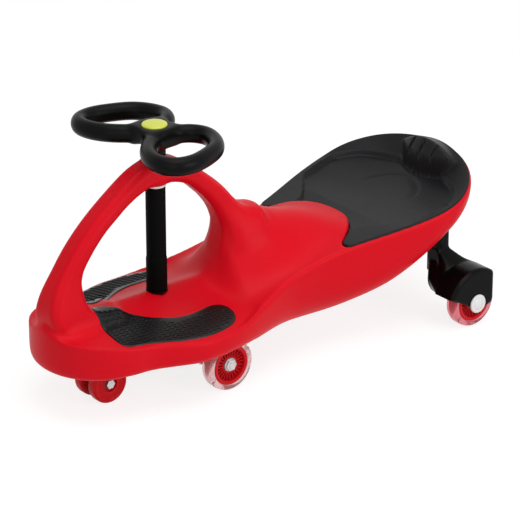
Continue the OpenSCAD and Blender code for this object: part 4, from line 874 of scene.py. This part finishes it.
tyre_clear = clear_tyre("tyre_clear_plastic", (0.95, 0.68, 0.68))
tyre_tinted = clear_tyre("tyre_tinted_plastic", (0.88, 0.30, 0.34))
rear_x, rear_y = -309.49, 152.0
spoke_sizes = {"Count": 24, "Inner": 0.0124, "Outer": 0.0248, "Thick": 0.0015, "Tall": 0.0056, "Lift": 0.0042,
               "Finish": rim_red}
upright = Matrix.Rotation(-math.pi / 2, 4, "X")
for end, axle_x, track, tyre_finish, tyre_slot in (("front", front_x, front_y, tyre_clear, "tyre_clear"),
                                                   ("rear", rear_x, rear_y, tyre_tinted, "tyre_red")):
    for side, word in sides:
        carrier = end + "_wheel_" + word[0]
        rim_piece = outward(mesh_piece(end + "_spoked_rim_" + word, *rim_shape))
        set_out(rim_piece, spoke_tree, spoke_keys, spoke_sizes)
        middle = Matrix.Translation((0.001 * axle_x, 0.001 * track * side, 0.001 * wheel_z))
        rim_piece.data.transform(middle @ Matrix.Diagonal((1, side, 1, 1)) @ upright)
        outward(rim_piece)
        dressed(rim_piece, rim_red, carrier, "rim_red", end + "_rim_" + word)
        tyre_name = end + "_soft_tyre_" + word
        tyre_piece = lathe_piece(tyre_name, tyre_shape, axle_x, track * side, wheel_z, "Y", side)
        dressed(tyre_piece, tyre_finish, carrier, tyre_slot, end + "_tyre_" + word)
        painted(bearing_steel, end + "_bearings_" + word)

# A glossy black housing wraps each rear wheel and hangs on a post that two screws hold in the body's tail.
# It is one moulding: the root below the body spreads into a hood over the wheel, with a cheek outside it.
hood_cell = 2.0
hx, hy, hz = np.arange(-352, -250, hood_cell), np.arange(76, 178, hood_cell), np.arange(20, 172, hood_cell)
HX, HY, HZ = hx[:, None, None], hy[None, :, None], hz[None, None, :]
hood_r, hood_from, hood_to = 56.5, 127.5, 18.2
hood_outer_y, hood_inner_y, wheel_room_r, wheel_room_y, wheel_room_half = 169.4, 81.5, 42.2, 149.6, 16.6
root_half, root_foot_z, root_top_z, post_foot_z = 11.5, 73.0, 115.0, 76.0
screw_ys, screw_head_r, screw_seat_z = (88.5, 101.5), 5.2, 92.0
hood_middle, root_middle = np.array([-303.0, 58.0]), np.array([post_x, 92.5])
crest_from, crest_run, foot_from, foot_run, foot_top_z, foot_fade = 106.0, 26.0, 86.0, 17.0, 78.0, 34.0
hood_arc = np.radians(np.linspace(hood_from, hood_to, 20))
hood_sill = [(14.5, -3.5), (-16.0, -12.5), (-30.0, -8.5), (-34.4, -4.0)]
hood_poly = np.vstack([np.stack([hood_r * np.cos(hood_arc), hood_r * np.sin(hood_arc)], 1), hood_sill])
hood_poly = hood_poly + np.array([rear_x, wheel_z])
root_poly = np.array([(post_x - root_half, root_foot_z), (post_x - root_half, root_top_z),
                      (post_x + root_half, root_top_z), (post_x + root_half, root_foot_z)])


def spread_round(poly, middle, count):
    """Points where rays from the middle leave a closed line, so that two lines can be blended."""
    out = []
    for c in np.linspace(0, 2 * np.pi, count, endpoint=False):
        d, best = np.array([np.cos(c), np.sin(c)]), 0.0
        for a, b in zip(poly, np.roll(poly, -1, axis=0)):
            e = b - a
            cross = d[0] * e[1] - d[1] * e[0]
            if abs(cross) > 1e-9:
                w = a - middle
                reach = (w[0] * e[1] - w[1] * e[0]) / cross
                share = (w[0] * d[1] - w[1] * d[0]) / cross
                if reach > 0 and -1e-6 <= share <= 1 + 1e-6:
                    best = max(best, reach)
        out.append(middle + d * best)
    return np.array(out)


hood_ring = spread_round(hood_poly, hood_middle, 72)
root_ring = spread_round(root_poly, root_middle, 72)
flat_x, flat_z = np.meshgrid(hx, hz, indexing="ij")
low_share = eased((foot_top_z - hood_ring[:, 1:]) / foot_fade)
housing = np.empty((len(hx), len(hy), len(hz)))
for j, y in enumerate(hy):
    above = np.clip((y - crest_from) / crest_run, 0.0, 1.0)
    below = np.clip((y - foot_from) / foot_run, 0.0, 1.0)
    ring = root_ring + (hood_ring - root_ring) * (above + (below - above) * low_share)
    housing[:, j, :] = line_distance(ring, flat_x, flat_z, True)
housing = carved(carved(housing, HY - hood_outer_y, 6.0), hood_inner_y - HY, 5.0)
post = carved(np.abs(HX - post_x) - post_half_x, np.abs(HY - post_y) - post_half_y, 4.0)
housing = melted(housing, carved(post, np.maximum(HZ - post_top, post_foot_z - HZ), 1.0), 3.0)
around = np.where(HZ < wheel_z, np.abs(HX - rear_x), np.hypot(HX - rear_x, HZ - wheel_z))
wheel_room = np.maximum(around - wheel_room_r, np.abs(HY - wheel_room_y) - wheel_room_half)
housing = carved(housing, -wheel_room, 1.5)
for screw_y in screw_ys:
    head_room = np.hypot(HX - post_x, HY - screw_y) - screw_head_r
    housing = np.maximum(housing, -np.maximum(head_room, HZ - screw_seat_z))
hood_points, hood_faces = moulded(housing, (hx[0], hy[0], hz[0]), hood_cell)
hood_black = grained("housing_black_plastic", (0.0012, 0.0012, 0.0012), 0.2, grain=1000.0, scuff=0.05,
                     Specular_IOR_Level=0.08)
for side, word in sides:
    spot = hood_points * np.array([1, side, 1])
    hood = mesh_piece("wheel_housing_" + word, spot, hood_faces[:, ::side])
    dressed(hood, hood_black, "chassis", "black_plastic", "rear_bracket_" + word)
painted(steel_zinc, "bracket_screws", "rear_axle_left", "rear_axle_right", "rear_axle_spacers")

# A white plastic cap presses over the outer end of each rear axle.
# It is turned, slightly domed, with a shallow ring in its face.
cap_white = grained("cap_white_plastic", (0.82, 0.82, 0.82), 0.4, grain=1000.0, mottle=0.03)
cap_y = 169.2
end_profile = [(0, 0.0), (14.2, 0.0), (14.7, 0.6), (14.7, 2.2), (14.0, 3.3), (12.6, 3.8), (10.4, 3.9),
               (10.0, 3.5), (9.2, 3.5), (8.8, 4.0), (4.0, 4.2), (0, 4.25)]
end_cap = turned(end_profile, 64, False)
cap_parts = [(placed(end_cap[0], rear_x, cap_y * side, wheel_z, "Y", side), end_cap[1]) for side in (1, -1)]
end_caps = outward(mesh_piece("end_caps", *merged(*cap_parts)))
dressed(end_caps, cap_white, "chassis", "white_nylon", "rear_axle_caps")

# The studio: a pale floor that shows white to the camera but keeps a soft shadow, large soft lights, and the
# photograph's long-lens camera.


def seen_directly(tree):
    """One for rays that come from the camera, also by way of a gloss or a clear tyre."""
    path = tree.nodes.new("ShaderNodeLightPath")
    camera_ray, *others = [Tone(tree, path.outputs["Is %s Ray" % kind])
                           for kind in ("Camera", "Glossy", "Transmission")]
    return sum(others, camera_ray)


floor_half, sky_strength = 8, 0.38
floor_mesh = bpy.data.meshes.new("floor")
floor_mesh.from_pydata([(x * floor_half, y * floor_half, 0) for x, y in ((-1, -1), (1, -1), (1, 1), (-1, 1))],
                       [], [(0, 1, 2, 3)])
floor = bpy.data.objects.new("floor", floor_mesh)
bpy.context.collection.objects.link(floor)
floor_paint, floor_shader, tone = plain_finish("floor_pale", (0.82, 0.82, 0.82), 0.9, Specular_IOR_Level=0.0)
shaded = tone.add("ShaderNodeBsdfDiffuse", None, {"Color": (0.3, 0.3, 0.3, 1)})
glow = tone.add("ShaderNodeEmission", None, {"Color": (1, 1, 1, 1), "Strength": 0.82})
white_floor = tone.add("ShaderNodeAddShader", None, {0: shaded, 1: glow})
plain_floor = Tone(tone.tree, floor_shader.outputs[0])
mixed = tone.add("ShaderNodeMixShader", None, {0: seen_directly(tone.tree), 1: plain_floor, 2: white_floor})
tone.tree.links.new(mixed.socket, tone.tree.nodes["Material Output"].inputs["Surface"])
floor.data.materials.append(floor_paint)

scene = bpy.context.scene
scene.view_settings.view_transform = "Standard"
world = bpy.data.worlds.new("studio")
scene.world = world
world.use_nodes = True
tone = Tone(world.node_tree)
sky = tone.tree.nodes["Background"]
sky.inputs["Color"].default_value = (1, 1, 1, 1)
sky.inputs["Strength"].default_value = sky_strength
backdrop = tone.add("ShaderNodeBackground", None, {"Color": (1, 1, 1, 1), "Strength": 1.0})
plain_sky = Tone(tone.tree, sky.outputs[0])
mixed = tone.add("ShaderNodeMixShader", None, {0: seen_directly(tone.tree), 1: plain_sky, 2: backdrop})
tone.tree.links.new(mixed.socket, tone.tree.nodes["World Output"].inputs["Surface"])


def softbox(name, place, aim, size, watts):
    lamp = bpy.data.lights.new(name, "AREA")
    lamp.shape, lamp.size, lamp.energy = "DISK", size, watts
    holder = bpy.data.objects.new(name, lamp)
    holder.location = place
    holder.rotation_euler = (Vector(aim) - Vector(place)).to_track_quat("-Z", "Y").to_euler()
    bpy.context.collection.objects.link(holder)


softbox("softbox_over", (0.1, 0.5, 2.6), (0, 0, 0.15), 2.2, 30)
softbox("softbox_front", (2.2, 1.9, 1.3), (0, 0, 0.2), 1.6, 9)
softbox("softbox_side", (-0.7, 2.8, 1.1), (-0.05, 0, 0.15), 1.6, 24)

turn, rise, reach = math.radians(39.0), math.radians(24.0), 4.502
focal_px, picture_px, sensor_mm = 3000, 520, 36.0
target = Vector((-0.019, 0.0, 0.1354))
back = Vector((math.cos(rise) * math.sin(turn), math.cos(rise) * math.cos(turn), math.sin(rise)))
lens = bpy.data.cameras.new("camera")
lens.sensor_width, lens.lens, lens.clip_end = sensor_mm, sensor_mm * focal_px / picture_px, 50.0
camera = bpy.data.objects.new("camera", lens)
camera.location = target + back * reach
camera.rotation_euler = (-back).to_track_quat("-Z", "Y").to_euler()
bpy.context.collection.objects.link(camera)
scene.camera = camera
